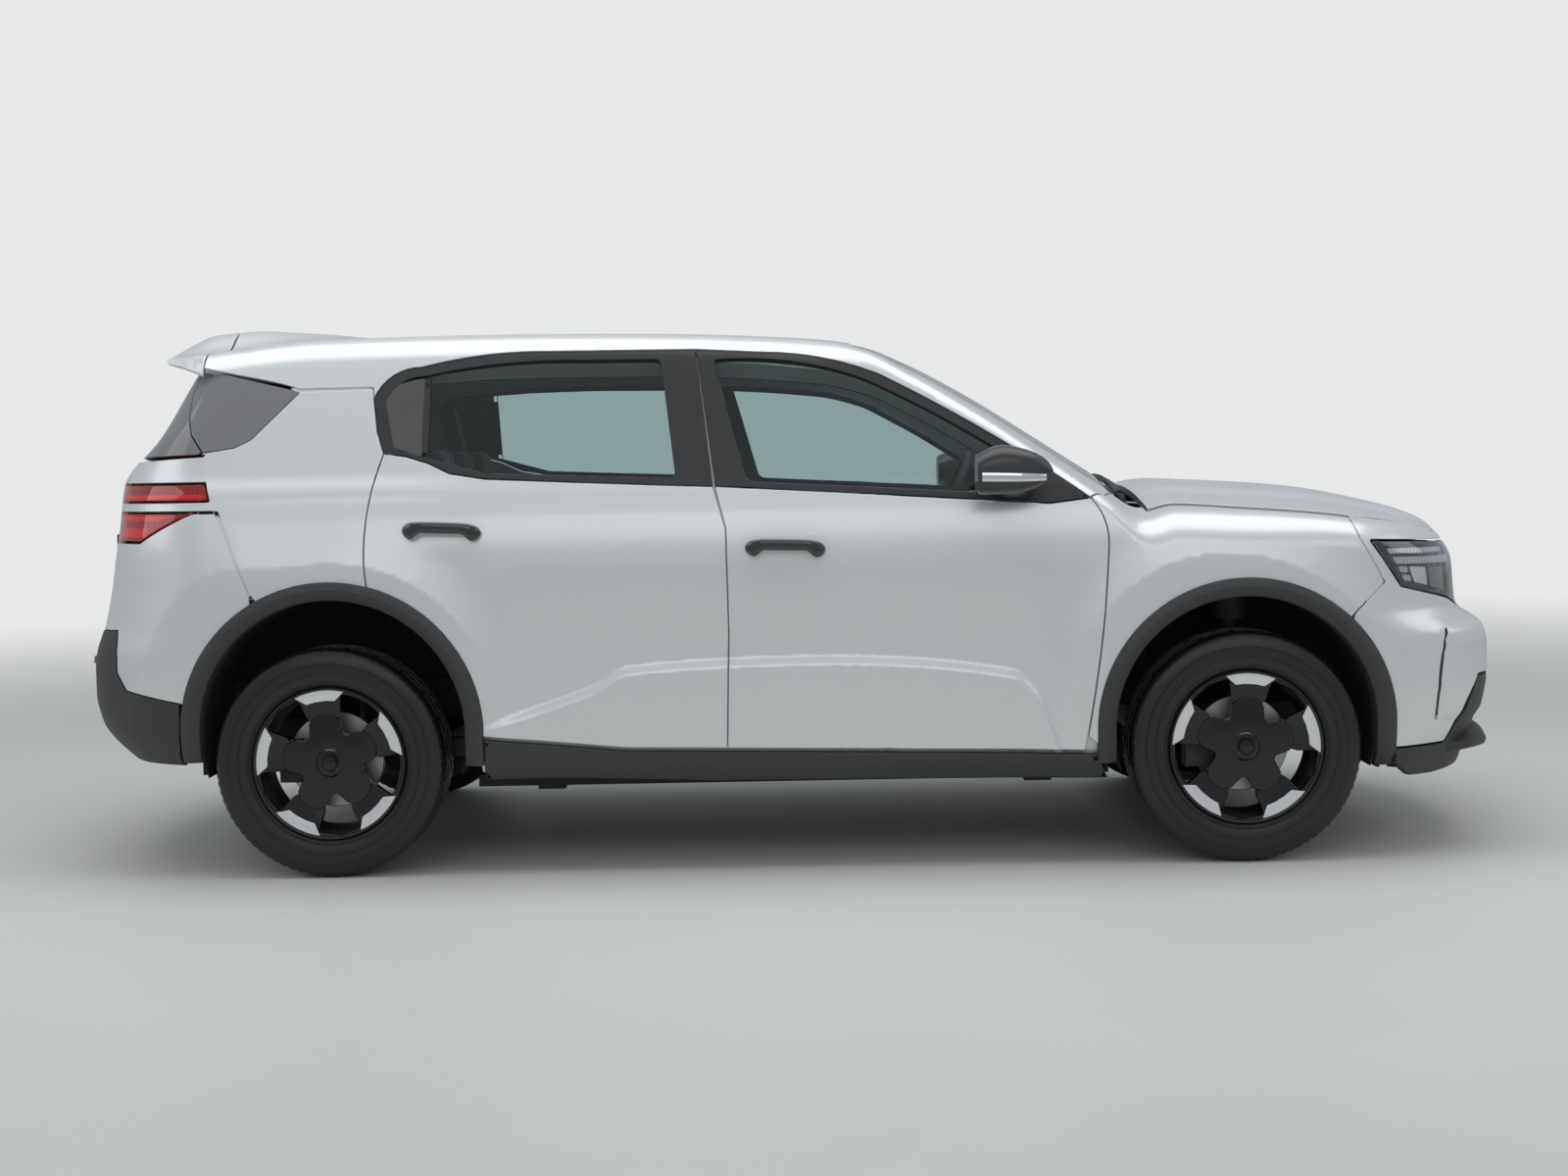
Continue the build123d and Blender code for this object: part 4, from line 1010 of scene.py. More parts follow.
quarter_pane = Panel(around_tail, on_side(quarter_glass_edge, True), depth=0.002, thick=0.005, gap=0.0015,
                     hem=0.001, spacing=0.02)
both_sides(quarter_pane, "quarter_glass", dark_glass, "body")
quarter_border = Panel(
    around_tail, on_side(quarter_glass_edge, True), [on_side(shrunk_side(
        rounded(quarter_glass_edge, 0.02), 0.010), True)],
    depth=0.0075, thick=0.02, gap=0.002, hem=0.0005, spacing=0.02,
)
both_sides(quarter_border, "quarter_glass_border", printed_border, "body")

# ---- tailgate ---------------------------------------------------------------------------------
# A one-piece lid hinged under the roof: wrapped dark glass above, a painted panel with the plate
# recess below, and the roof spoiler that overhangs the glass.
gate_glass_low = 1.222


def wrap_line(z_first, z_last, way_first, way_last, count=16):
    ways = np.linspace(way_first, way_last, count)
    heights = np.linspace(z_first, z_last, count)
    return reach_skin(*around_tail.rays(np.column_stack([ways, heights])))


def mirrored_outline(right):
    """Closed outline of a part that crosses the centre line, from its right-hand points."""
    return np.vstack([right, (right * (1, -1, 1))[::-1]])


split = on_side(glass_split)
split_low_way = around_tail.flat(split[-1:])[0, 0]
glass_low_line = wrap_line(gate_glass_low, 1.243, 0.0, split_low_way - 0.01)
glass_top_line = wrap_line(1.508, 1.512, 0.0, around_tail.flat(split[:1])[0, 0] - 0.01)
gate_glass_outline = mirrored_outline(np.vstack([glass_low_line, split[::-1], glass_top_line[::-1]]))
gate_glass = Panel(around_tail, gate_glass_outline, depth=0.002, thick=0.005, gap=0.0015, hem=0.001,
                   spacing=0.025)
fitted(gate_glass.piece("tailgate_pane", dark_glass), "tailgate", "tailgate_glass")
gate_hole = mirrored_outline(np.vstack([
    wrap_line(1.262, 1.275, 0.0, 0.60), wrap_line(1.30, 1.46, 0.655, 0.62, 6),
    wrap_line(1.478, 1.475, 0.57, 0.0),
]))
gate_border = Panel(around_tail, gate_glass_outline, [gate_hole], depth=0.0075, thick=0.028, gap=0.002,
                    hem=0.0005, spacing=0.025)
fitted(gate_border.piece("tailgate_glass_border", printed_border), "tailgate")

gate_right = np.vstack([
    wrap_line(gate_glass_low - 0.004, 1.228, 0.0, shoulder_way - 0.01), gate_shoulder,
    on_end([(-0.556, 0.98), (-0.548, 0.765), (-0.40, 0.757), (-0.2, 0.756), (0, 0.756)], -1),
])
plate_recess_edge = on_end([(-0.285, 0.865), (-0.285, 1.015), (0.285, 1.015), (0.285, 0.865)], -1)
gate = Panel(around_tail, mirrored_outline(gate_right), [plate_recess_edge], thick=0.02, hole_corner=0.02)
fitted(gate.piece("tailgate_skin", paint), "tailgate", "tailgate")

plate_pocket = Panel(around_tail, on_end([(-0.30, 0.855), (-0.30, 1.025), (0.30, 1.025), (0.30, 0.855)],
                                         -1), depth=0.0205,
                     thick=0.004, gap=0, corner=0.02)
fitted(plate_pocket.piece("plate_pocket", paint), "tailgate")


def finished(name, points, faces, finish, sharp=35):
    """A mesh drawn from mid-wheelbase, smooth but for its edges sharper than an angle."""
    piece = bare_mesh(name, to_row(np.array(points, float).reshape(-1, 3)), faces)
    shell = bmesh.new()
    shell.from_mesh(piece.data)
    bmesh.ops.remove_doubles(shell, verts=shell.verts, dist=1e-6)
    bmesh.ops.recalc_face_normals(shell, faces=shell.faces)
    shell.to_mesh(piece.data)
    shell.free()
    piece.data.polygons.foreach_set("use_smooth", np.ones(len(piece.data.polygons), bool))
    piece.data.set_sharp_from_angle(angle=math.radians(sharp))
    piece.data.materials.append(finish.material)
    return piece


def lofted(name, rings, finish, sharp=35, looped=False, capped=True):
    """Rings of equal count joined in order; the ends are capped or, if looped, joined."""
    rings = np.array(rings, float)
    count, size = rings.shape[:2]
    faces = []
    for i in range(count if looped else count - 1):
        a, b = i * size, (i + 1) % count * size
        faces += [(a + j, b + j, b + (j + 1) % size, a + (j + 1) % size) for j in range(size)]
    if capped and not looped:
        faces += [tuple(range(size)), tuple(range((count - 1) * size, count * size))]
    return finished(name, rings, faces, finish, sharp)


def sheet(name, upper, lower, finish, sharp=35):
    """A closed body between two grids of points with the same rows and columns."""
    rows, columns = upper.shape[:2]
    faces = []
    for layer in (0, rows * columns):
        for i in range(rows - 1):
            for j in range(columns - 1):
                a = layer + i * columns + j
                faces.append((a, a + 1, a + columns + 1, a + columns))
    rim = [j for j in range(columns)] + [i * columns + columns - 1 for i in range(1, rows)]
    rim += [(rows - 1) * columns + j for j in range(columns - 2, -1,
                                                    -1)] + [i * columns for i in range(rows - 2, 0, -1)]
    under = rows * columns
    faces += [(a, b, b + under, a + under) for a, b in zip(rim, rim[1:] + rim[:1])]
    return finished(name, np.vstack([upper.reshape(-1, 3), lower.reshape(-1, 3)]), faces, finish, sharp)


def on_both(name, bodies, make):
    """A right-hand piece and its mirror image; make takes a name and the side's flip."""
    pieces = []
    for side, flip in (("right", 1), ("left", -1)):
        piece = make(f"{name}_{side}", np.array((1, flip, 1)))
        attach(piece, bodies.replace("SIDE", side))
        pieces.append(piece)
    return pieces


spoiler_rows, spoiler_columns = np.meshgrid(np.linspace(0, 1, 18), np.linspace(-1, 1, 71), indexing="ij")
spoiler_y = spoiler_columns * (0.640 - 0.062 * spoiler_rows)
split_x = -1.703 - 0.022 * ease(np.abs(spoiler_y), 0.50, 0.60)
tip_x = -1.933 + spoiler_y**2 / 4
spoiler_x = split_x + (tip_x - split_x) * spoiler_rows
spoiler_top = crown_height(spoiler_x) - crown_drop(spoiler_x) * spoiler_y**2 + top_relief(spoiler_x,
    np.abs(spoiler_y))
end_radius = 0.062 - 0.050 * spoiler_rows
past_end = np.clip((np.abs(spoiler_y) - 0.640 + 0.062 * spoiler_rows) / end_radius + 1, 0, 1)
spoiler_top = spoiler_top - end_radius * (1 - np.sqrt(1 - past_end**2))
spoiler_base = 1.500 - 0.05 * spoiler_y**2 + 0.020 * ease(np.abs(spoiler_y), 0.50, 0.57)
spoiler_base = spoiler_base + (spoiler_top - 0.009 - spoiler_base) * spoiler_rows**0.8
spoiler_base = np.minimum(spoiler_base, spoiler_top - 0.009)
spoiler_upper = np.stack([spoiler_x, spoiler_y, spoiler_top], -1)
spoiler_lower = np.stack([spoiler_x + 0.004 * spoiler_rows, spoiler_y * 0.997, spoiler_base], -1)
spoiler = sheet("roof_spoiler", spoiler_upper, spoiler_lower, paint)
soft_edge = spoiler.modifiers.new("edge", "BEVEL")
soft_edge.width = 0.003
soft_edge.segments = 2
soft_edge.angle_limit = math.radians(50)
fitted(spoiler, "tailgate")


def eave(flip):
    rings = []
    for x in np.linspace(-1.47, -1.72, 14):
        z = 1.433 + (x + 1.428) * (1.503 - 1.433) / (-1.722 + 1.428)
        out = on_side([(x, z + 0.003)], form=outside_roof)[0]
        into = on_side([(x, z + 0.003)])[0]
        rings.append([out + (0, 0.006, 0), into + (0, 0.02, 0), into + (0, 0.02, 0.006),
                      out + (0, 0.006, 0.006)])
    return np.array(rings) * flip


on_both("eave_filler", "body", lambda name, flip: lofted(name, eave(flip), frame_black))

plate_blank = Finish("blank_plate", (0.72, 0.73, 0.72), Roughness=0.35, Coat_Weight=0.3)
plate_grit = plate_blank.noise(300, 2)
plate_blank.set(Base_Color=plate_blank.blend(plate_grit, (0.69, 0.70, 0.69), (0.75, 0.76, 0.75)))


def block(name, low, high, finish, edge=0.004, segments=3):
    """A box with rounded edges, for pads and small housings."""
    low, high = np.array(low, float), np.array(high, float)
    shape = bmesh.new()
    bmesh.ops.create_cube(shape, size=1)
    for vert in shape.verts:
        vert.co = Vector((low + high) / 2 + np.array(vert.co) * (high - low))
    bmesh.ops.bevel(shape, geom=list(shape.edges), offset=edge, segments=segments, affect="EDGES",
                    profile=0.5)
    mesh = bpy.data.meshes.new(name)
    bmesh.ops.translate(shape, verts=shape.verts, vec=(mid_wheelbase, 0, 0))
    shape.to_mesh(mesh)
    shape.free()
    mesh.polygons.foreach_set("use_smooth", np.ones(len(mesh.polygons), bool))
    mesh.set_sharp_from_angle(angle=math.radians(50))
    mesh.materials.append(finish.material)
    piece = bpy.data.objects.new(name, mesh)
    scene.collection.objects.link(piece)
    return piece


def plate(name, x, z, facing, body):
    """A blank number plate in its black holder."""
    holder = block(f"{name}_holder", (min(x, x - facing * 0.04), -0.268, z - 0.062),
                   (max(x, x - facing * 0.04) - 0, 0.268, z + 0.062), frame_black)
    blank = block(f"{name}_blank", (x - 0.002, -0.258, z - 0.054), (x + 0.0018, 0.258, z + 0.054),
                  plate_blank, 0.0012, 2)
    for piece, slot in ((holder, "black_plastic"), (blank, "body_paint")):
        piece.data.update()
        fitted(piece, body)
    return blank


plate("rear_plate", -2.1245, 0.940, -1, "tailgate")

# ---- tail lamps -------------------------------------------------------------------------------
# Two red lamps a side under smooth lenses, let into the rear corner with a silver strip between.
red_lens = Finish("red_lens", (0.86, 0.05, 0.06), Roughness=0.02, IOR=1.5, Transmission_Weight=0.85,
                  Coat_Weight=0.5)
lens_haze = red_lens.noise(60, 2)
red_lens.set(Base_Color=red_lens.blend(lens_haze, (0.82, 0.045, 0.055), (0.90, 0.06, 0.07)))
lamp_housing = Finish("red_lamp_housing", (0.22, 0.02, 0.025), Roughness=0.35, Metallic=0.3)
ribs = lamp_housing.axis(0) * 420
rib_wave = lamp_housing.node("Math", {"operation": "SINE"}, {0: ribs})
lamp_housing.set(
    Base_Color=lamp_housing.blend(rib_wave * 0.5 + 0.5, (0.12, 0.01, 0.014), (0.42, 0.04, 0.045)),
)
light_guide = Finish("red_light_guide", (0.95, 0.25, 0.22), Roughness=0.3)
guide_ribs = light_guide.node("Math", {"operation": "SINE"}, {0: light_guide.axis(2) * 900})
light_guide.set(Base_Color=light_guide.blend(guide_ribs * 0.5 + 0.5, (0.75, 0.10, 0.09), (1.0, 0.32, 0.28)))
light_guide.shader.inputs["Emission Color"].default_value = (1.0, 0.06, 0.04, 1)
light_guide.shader.inputs["Emission Strength"].default_value = 0.35


def lamp_outline(z_high, z_low, high_x, low_x):
    return np.vstack([lamp_run(z_high, high_x), lamp_run(z_low, low_x, True)])


upper_lamp = lamp_outline(1.159, 1.108, -1.691, -1.673)
lower_lamp = np.vstack([lamp_run(1.075, -1.716), lamp_run(0.990, -1.894, True)])
for level, outline in (("upper", upper_lamp), ("lower", lower_lamp)):
    lens = Panel(around_tail, outline, depth=0.0005, thick=0.003, gap=0.003, spacing=0.012, corner=0.008)
    for piece in both_sides(lens, f"tail_lamp_{level}_lens", red_lens, "body"):
        if level == "upper" and piece.name.endswith("right"):
            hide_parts("tail_lamps")
    dish = Panel(around_tail, outline, depth=0.026, thick=0.02, gap=0.002, spacing=0.02, corner=0.008)
    both_sides(dish, f"tail_lamp_{level}_dish", lamp_housing, "body")
guides = (
    ("upper", lamp_outline(1.127, 1.116, -1.699, -1.692)),
    ("mid", np.vstack([lamp_run(1.064, -1.80), lamp_run(1.052, -1.84, True)])),
    ("low", np.vstack([lamp_run(1.030, -1.885), lamp_run(1.004, -1.905, True)])),
)
for level, outline in guides:
    guide = Panel(around_tail, outline, depth=0.009, thick=0.014, gap=0, spacing=0.012, corner=0.003)
    both_sides(guide, f"tail_lamp_guide_{level}", light_guide, "body")

# ---- rear bumper ------------------------------------------------------------------------------
# A painted moulding that wraps the tail from wheel arch to wheel arch, with a black grained skirt.
cladding = Finish("grained_black_cladding", (0.040, 0.041, 0.043), Roughness=0.56)
leather_grain = cladding.node("TexVoronoi", {"feature": "DISTANCE_TO_EDGE"},
                              {"Vector": cladding.place(), "Scale": 620})
cladding_cloud = cladding.noise(3.0, 3)
cladding.set(
    Base_Color=cladding.blend(cladding_cloud, (0.034, 0.035, 0.037), (0.047, 0.048, 0.050)),
    Roughness=0.50 + cladding_cloud * 0.12,
    Normal=cladding.bump(leather_grain, 0.25, 0.0004),
)


def tail_way(points):
    return around_tail.flat(on_side(points))[:, 0]


skirt_way = tail_way([(-1.979, 0.732)])[0]
skirt_run = wrap_line(0.702, 0.728, 0.0, skirt_way - 0.01, 24)
bumper_right = np.vstack([
    on_end([(0, 0.7535), (-0.2, 0.7535), (-0.4, 0.7535), (-0.549, 0.7535), (-0.557, 0.98)], -1),
    lamp_run(0.9865, -1.896, True), on_side([(-1.722, 1.0715), (-1.652, 1.0715), (-1.548, 0.839)]),
    on_side(arch_arc(rear_arch, 0.430, 121, 168) + [(-1.762, 0.520), (-1.939, 0.555), (-1.973, 0.605),
                                                    (-1.978, 0.730)]),
    skirt_run[::-1],
])
rear_bumper = Panel(around_tail, mirrored_outline(bumper_right), spacing=0.016)
fitted(rear_bumper.piece("rear_bumper_skin", paint), "body", "rear_bumper")

skirt_low = wrap_line(0.325, 0.335, 0.0, tail_way([(-1.775, 0.35)])[0], 24)
skirt_right = np.vstack([
    skirt_run, on_side([(-1.978, 0.730), (-1.973, 0.605), (-1.939, 0.555), (-1.762, 0.520), (-1.770,
        0.345)]),
    skirt_low[::-1],
])
skirt = Panel(around_tail, mirrored_outline(skirt_right), spacing=0.018, depth=-0.003)
fitted(skirt.piece("rear_skirt", cladding), "body", "rear_lower_trim")
reflector = Panel(around_tail, np.vstack([
    wrap_line(0.640, 0.640, 0.40, 0.56, 8), wrap_line(0.618, 0.618, 0.56, 0.40, 8)]), depth=-0.011,
    thick=0.013, gap=0,
    spacing=0.008, corner=0.004)
both_sides(reflector, "rear_reflector", red_lens, "body")

# ---- arch and sill cladding -------------------------------------------------------------------
# Grained black mouldings clipped round each wheel arch and along the sills, with felt liners inside.
def arch_section(outer, inner):
    """(radius, how far proud of the skin) round the moulding's section."""
    crease = inner + 0.5 * (outer - inner)
    return [
        (outer, -0.006), (outer - 0.001, 0.005), (outer - 0.006, 0.009), (crease + 0.004, 0.0135),
        (crease, 0.0125), (inner + 0.006, -0.001), (inner + 0.001, -0.006), (inner, -0.012),
        (inner, -0.075), (inner + 0.006, -0.075), (inner + 0.010, -0.016), (outer - 0.006, -0.012),
    ]


def arch_rings(centre, outer, inner, foot_rear, foot_front, flip):
    """Sections from the front foot over the wheel to the rear foot."""
    stations = [(0.0, z - centre[1]) for z in np.linspace(foot_front, centre[1], 6)[:-1]]
    stations += [(math.radians(a), 0.0) for a in np.linspace(0, 180, 61)]
    stations += [(math.pi, z - centre[1]) for z in np.linspace(centre[1], foot_rear, 6)[1:]]
    section = arch_section(outer, inner)
    flat = [
        (centre[0] + r * math.cos(a),
         centre[1] + r * math.sin(a) + drop) for a, drop in stations for r, _ in section
    ]
    start = np.array([(x, 0, z) for x, z in flat])
    skin = reach_skin(start, np.tile((0.0, -1.0, 0.0), (len(start), 1)))
    skin[:, 1] -= np.array([proud for _ in stations for _, proud in section])
    return skin.reshape(len(stations), len(section), 3) * flip


wheel_arches = (
    ("front", front_arch, 0.434, 0.378, 0.300, 0.272),
    ("rear", rear_arch, 0.443, 0.388, 0.345, 0.326),
)
for end, centre, outer, inner, foot_rear, foot_front in wheel_arches:
    made = on_both(
        f"{end}_arch_trim", "body",
        lambda name, flip: lofted(name, arch_rings(centre, outer, inner, foot_rear, foot_front, flip),
                                  cladding, 28),
    )
    if end == "front":
        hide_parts("side_cladding")

sill_edge = [
    (-0.879, 0.402), (-0.740, 0.387), (-0.464, 0.360), (-0.171, 0.354), (0.866, 0.329), (0.899, 0.329),
    (0.936, 0.250), (-0.192, 0.262), (-0.583, 0.276), (-0.879, 0.280),
]
sill = Panel(over_side, on_side(sill_edge, True), depth=-0.004, thick=0.03, spacing=0.018, hem=0.005)
both_sides(sill, "sill_trim", cladding, "body")

liner_felt = Finish("arch_liner_felt", (0.012, 0.012, 0.013), Roughness=0.95)
felt_nap = liner_felt.noise(500, 3)
liner_felt.set(
    Base_Color=liner_felt.blend(felt_nap, (0.008, 0.008, 0.009), (0.018, 0.018, 0.019)),
    Normal=liner_felt.bump(felt_nap, 0.6, 0.001),
)


def liner_rings(centre, radius, flip):
    rings = []
    for y in (-0.52, -0.70, -0.834):
        outer = [(centre[0] + radius * math.cos(t), y, centre[1] + radius * math.sin(t))
                 for t in np.radians(np.linspace(-19, 199, 44))]
        inner = [(centre[0] + (radius - 0.004) * math.cos(t), y, centre[1] + (radius - 0.004) * math.sin(t))
                 for t in np.radians(np.linspace(199, -19, 44))]
        rings.append(outer + inner)
    return np.array(rings) * flip


for end, centre, outer, inner, foot_rear, foot_front in wheel_arches:
    on_both(f"{end}_arch_liner", "body",
            lambda name, flip: lofted(name, liner_rings(centre, inner + 0.0065, flip), liner_felt))

def wheelhouse_wall(flip):
    lowest = math.asin((0.560 - 0.426) / 0.394)
    arch = [(-1.322 + 0.394 * math.cos(t), 0.426 + 0.394 * math.sin(t)) for t in np.linspace(lowest,
        math.pi - lowest, 40)]
    return np.array([[(x, y, z) for x, z in arch] for y in (-0.522, -0.514)]) * flip


on_both("rear_arch_inner_wall", "body",
        lambda name, flip: lofted(name, wheelhouse_wall(flip), liner_felt))


def seam_flange(name, line, half, form_layout):
    """A painted strip just under a shut line, so that the gap is a groove and not a hole."""
    p = np.array(line, float)
    along = np.gradient(p, axis=0)
    along /= np.linalg.norm(along, axis=1, keepdims=True)
    across = np.column_stack([-along[:, 1], along[:, 0]]) * half
    edge = on_side(np.vstack([p + across, (p - across)[::-1]]), True, form_layout.form)
    strip = Panel(form_layout, edge, depth=0.0045, thick=0.003, gap=0, spacing=0.02, corner=0.002)
    both_sides(strip, name, paint, "body")


seam_flange("roof_seam_flange", [(-1.455, 1.4345), (-1.32, 1.4345), (-1.205, 1.4345)], 0.016, over_side)
seam_flange("wing_seam_flange", [(1.651, 0.985), (1.667, 0.936), (1.737, 0.808), (1.665, 0.745)], 0.014,
            over_side)
seam_flange("quarter_seam_flange", [(-1.648, 1.066), (-1.622, 1.000), (-1.567, 0.860), (-1.550, 0.818)],
            0.018, over_side)
seam_flange("lamp_seam_flange", [(-1.705, 1.0740), (-1.680, 1.0740), (-1.655, 1.0735)], 0.008, over_side)

# ---- front bumper -----------------------------------------------------------------------------
# A painted moulding round the nose with a black band for the lamps and a grained black chin below.
def wrap_nose(z_first, z_last, way_first, way_last, count=16):
    ways = np.linspace(way_first, way_last, count)
    heights = np.linspace(z_first, z_last, count)
    return reach_skin(*around_nose.rays(np.column_stack([ways, heights])))


def nose_way(x, z):
    return around_nose.flat(on_side([(x, z)]))[0, 0]


lid_x = np.linspace(1.872, 1.660, 6)
lid_side = crown_edge(lid_x, np.interp(lid_x, *zip(*bonnet_line)))
chin_edge = [(1.755, 0.398), (1.755, 0.327), (1.933, 0.329), (2.050, 0.523)]
nose_right = np.vstack([
    nose_line[::-1], lid_side, wing_front, on_side(arch_arc(front_arch, 0.420, 44, 4, 14) + chin_edge),
    wrap_nose(0.523, 0.523, nose_way(2.050, 0.523) - 0.02, 0.0),
])
lamp_tip = [(2.000, 0.917), (1.935, 0.922), (1.693, 0.932), (1.789, 0.793), (1.956, 0.752), (2.060, 0.699)]
band_right = np.vstack([
    wrap_nose(0.897, 0.916, 0.0, nose_way(2.000, 0.917) - 0.02), on_side(lamp_tip),
    wrap_nose(0.697, 0.697, nose_way(2.060, 0.699) - 0.02, 0.0),
])
lamp_band = mirrored_outline(band_right)
nose_skin = Panel(around_nose, mirrored_outline(nose_right), [lamp_band], spacing=0.012, hole_corner=0.008)
fitted(nose_skin.piece("front_bumper_skin", paint), "body", "front_bumper")

slot_edge = [(1.927, 0.674), (1.916, 0.560), (1.900, 0.398), (1.891, 0.402), (1.905, 0.560), (1.920, 0.660)]
air_slot = Panel(around_nose, on_side(slot_edge, True), depth=-0.0015, thick=0.004, gap=0, spacing=0.01,
                 corner=0.002)
both_sides(air_slot, "bumper_air_slot", frame_black, "body")

def outside_chin(p):
    """The skin with most of its tuck below the bumper taken out."""
    raised = np.minimum(p[:, 2], 0.33)
    return outside_by(np.column_stack([p[:, 0], p[:, 1], p[:, 2] + (0.33 - raised) * 0.72]))


around_chin = AroundEnd(1)
around_chin.form = outside_chin
chin_right = np.vstack([
    wrap_nose(0.519, 0.519, 0.0, nose_way(2.047, 0.519)),
    on_side([(1.934, 0.3255), (1.757, 0.3235), (1.757, 0.238)]),
    wrap_nose(0.236, 0.302, nose_way(1.80, 0.236), 0.0),
])
intake = mirrored_outline(np.vstack([wrap_nose(0.500, 0.500, 0.0, 0.56),
                                     wrap_nose(0.372, 0.372, 0.50, 0.0)]))
chin = Panel(around_chin, mirrored_outline(chin_right), [intake], depth=0.002, thick=0.02, spacing=0.016,
             hole_corner=0.02)
fitted(chin.piece("front_chin", cladding), "body", "front_lower_trim")
for k in range(5):
    z = 0.386 + 0.025 * k
    slat = Panel(around_nose, mirrored_outline(np.vstack([wrap_nose(z + 0.009, z + 0.009, 0.0, 0.57),
                                                          wrap_nose(z, z, 0.57, 0.0)])),
                 depth=0.018, thick=0.03, gap=0, spacing=0.03, corner=0.003)
    fitted(slat.piece(f"intake_slat_{k + 1}", frame_black), "body")
intake_back = Panel(around_nose, mirrored_outline(np.vstack([wrap_nose(0.512, 0.512, 0.0, 0.58),
                                                             wrap_nose(0.36, 0.36, 0.53, 0.0)])),
                    depth=0.05, thick=0.006, gap=0, spacing=0.04)
fitted(intake_back.piece("intake_back", liner_felt), "body")
plate("front_plate", 2.1935, 0.452, 1, "body")

lip_rings = []
for y in np.linspace(-0.72, 0.72, 49):
    taper = float(ease(abs(y), 0.74, 0.60))
    front = 2.198 - y * y / 4 - 0.035 * (1 - taper)
    back = max(front - 0.30, 1.80)
    middle, half = 0.314, 0.004 + 0.013 * taper
    lip_rings.append([
        (back, y, 0.300), (front - 0.11, y, middle + half + 0.010),
        (front - 0.022, y, middle + half + 0.002), (front - 0.006, y, middle + half * 0.7),
        (front, y, middle), (front - 0.005, y, middle - half * 0.7),
        (front - 0.03, y, middle - half - 0.004),
        (back, y, 0.238 + 0.012 * (1 - taper)),
    ])
fitted(lofted("front_lip", lip_rings, cladding, 30), "body")

# ---- headlamps --------------------------------------------------------------------------------
# Clear lenses over a black bezel, two light bars and square projectors; a gloss panel joins them.
gloss_black = Finish("gloss_black_panel", (0.012, 0.012, 0.014), Roughness=0.12, Coat_Weight=1.0,
                     Coat_Roughness=0.03)
gloss_wave = gloss_black.noise(9, 2)
gloss_black.set(Roughness=0.04 + gloss_wave * 0.05)
lamp_lens = Finish("clear_lamp_lens", (0.96, 0.97, 0.98), Roughness=0.0, IOR=1.5, Transmission_Weight=1.0)
lamp_grey = Finish("lamp_inner_grey", (0.30, 0.305, 0.315), Roughness=0.45, Metallic=0.2)
grey_ribs = lamp_grey.node("Math", {"operation": "SINE"}, {0: lamp_grey.axis(2) * 700})
lamp_grey.set(Base_Color=lamp_grey.blend(grey_ribs * 0.5 + 0.5, (0.22, 0.225, 0.235), (0.36, 0.365, 0.375)))
bar_white = Finish("lamp_bar_white", (0.74, 0.77, 0.82), Roughness=0.25, Coat_Weight=0.6)
bar_ribs = bar_white.node("Math", {"operation": "SINE"}, {0: bar_white.axis(0) * 500})
bar_white.set(Base_Color=bar_white.blend(bar_ribs * 0.5 + 0.5, (0.62, 0.65, 0.70), (0.80, 0.83, 0.88)))
chrome = Finish("bright_chrome", (0.80, 0.81, 0.82), Metallic=1.0, Roughness=0.08)
chrome_haze = chrome.noise(20, 2)
chrome.set(Roughness=0.05 + chrome_haze * 0.08)

lens_inner_way = 0.415


def lamp_part(points, way=None, z_high=None, z_low=None):
    """Side-view points of a lamp part, with an optional run round the nose to a way from the middle."""
    line = on_side(points)
    if way is None:
        return line
    first, last = around_nose.flat(line[:1])[0], around_nose.flat(line[-1:])[0]
    return np.vstack([wrap_nose(z_high, first[1], way, first[0] - 0.01, 8), line,
                      wrap_nose(last[1], z_low, last[0] - 0.01, way, 8)])


lens_edge = lamp_part(lamp_tip, lens_inner_way, 0.908, 0.699)
lens = Panel(around_nose, lens_edge, depth=0.001, thick=0.003, gap=0.004, spacing=0.014, corner=0.008)
lens_pieces = both_sides(lens, "headlamp_lens", lamp_lens, "body")
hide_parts("headlamps")
opening = lamp_part([(2.010, 0.902), (1.930, 0.904), (1.730, 0.910), (1.802, 0.806), (1.950, 0.770),
                     (2.040, 0.722)],
                    lens_inner_way + 0.03, 0.896, 0.716)
bezel = Panel(around_nose, lens_edge, [opening], depth=0.005, thick=0.012, gap=0.0045, spacing=0.02,
              corner=0.008)
both_sides(bezel, "headlamp_bezel", frame_black, "body")
dish = Panel(around_nose, lens_edge, depth=0.045, thick=0.02, gap=0.004, spacing=0.03, corner=0.008)
both_sides(dish, "headlamp_dish", lamp_grey, "body")
lamp_parts = (
    ("bar_high", [(1.960, 0.901), (1.748, 0.905), (1.758, 0.888), (1.962, 0.885)], None, bar_white, 0.012),
    ("bar_low", [(2.010, 0.874), (1.765, 0.879), (1.780, 0.858), (2.014, 0.852)], 0.46, bar_white, 0.010),
    ("cube_high", [(1.822, 0.850), (1.787, 0.851), (1.796, 0.833), (1.826, 0.831)], None, bar_white, 0.016),
    ("cube_low", [(1.830, 0.825), (1.798, 0.827), (1.810, 0.808), (1.837, 0.805)], None, bar_white, 0.016),
    ("projector", [(1.898, 0.846), (1.832, 0.849), (1.852, 0.802), (1.905, 0.789)], None, chrome, 0.022),
    ("second_projector", [(1.975, 0.842), (1.908, 0.845), (1.916, 0.786), (1.982, 0.768)], None, lamp_grey,
     0.020),
)
for part, points, way, finish, depth in lamp_parts:
    outline = lamp_part(points) if way is None else lamp_part(points, way, points[0][1], points[-1][1])
    bit = Panel(around_nose, outline, depth=depth, thick=0.026, gap=0, spacing=0.014, corner=0.004)
    both_sides(bit, f"headlamp_{part}", finish, "body")

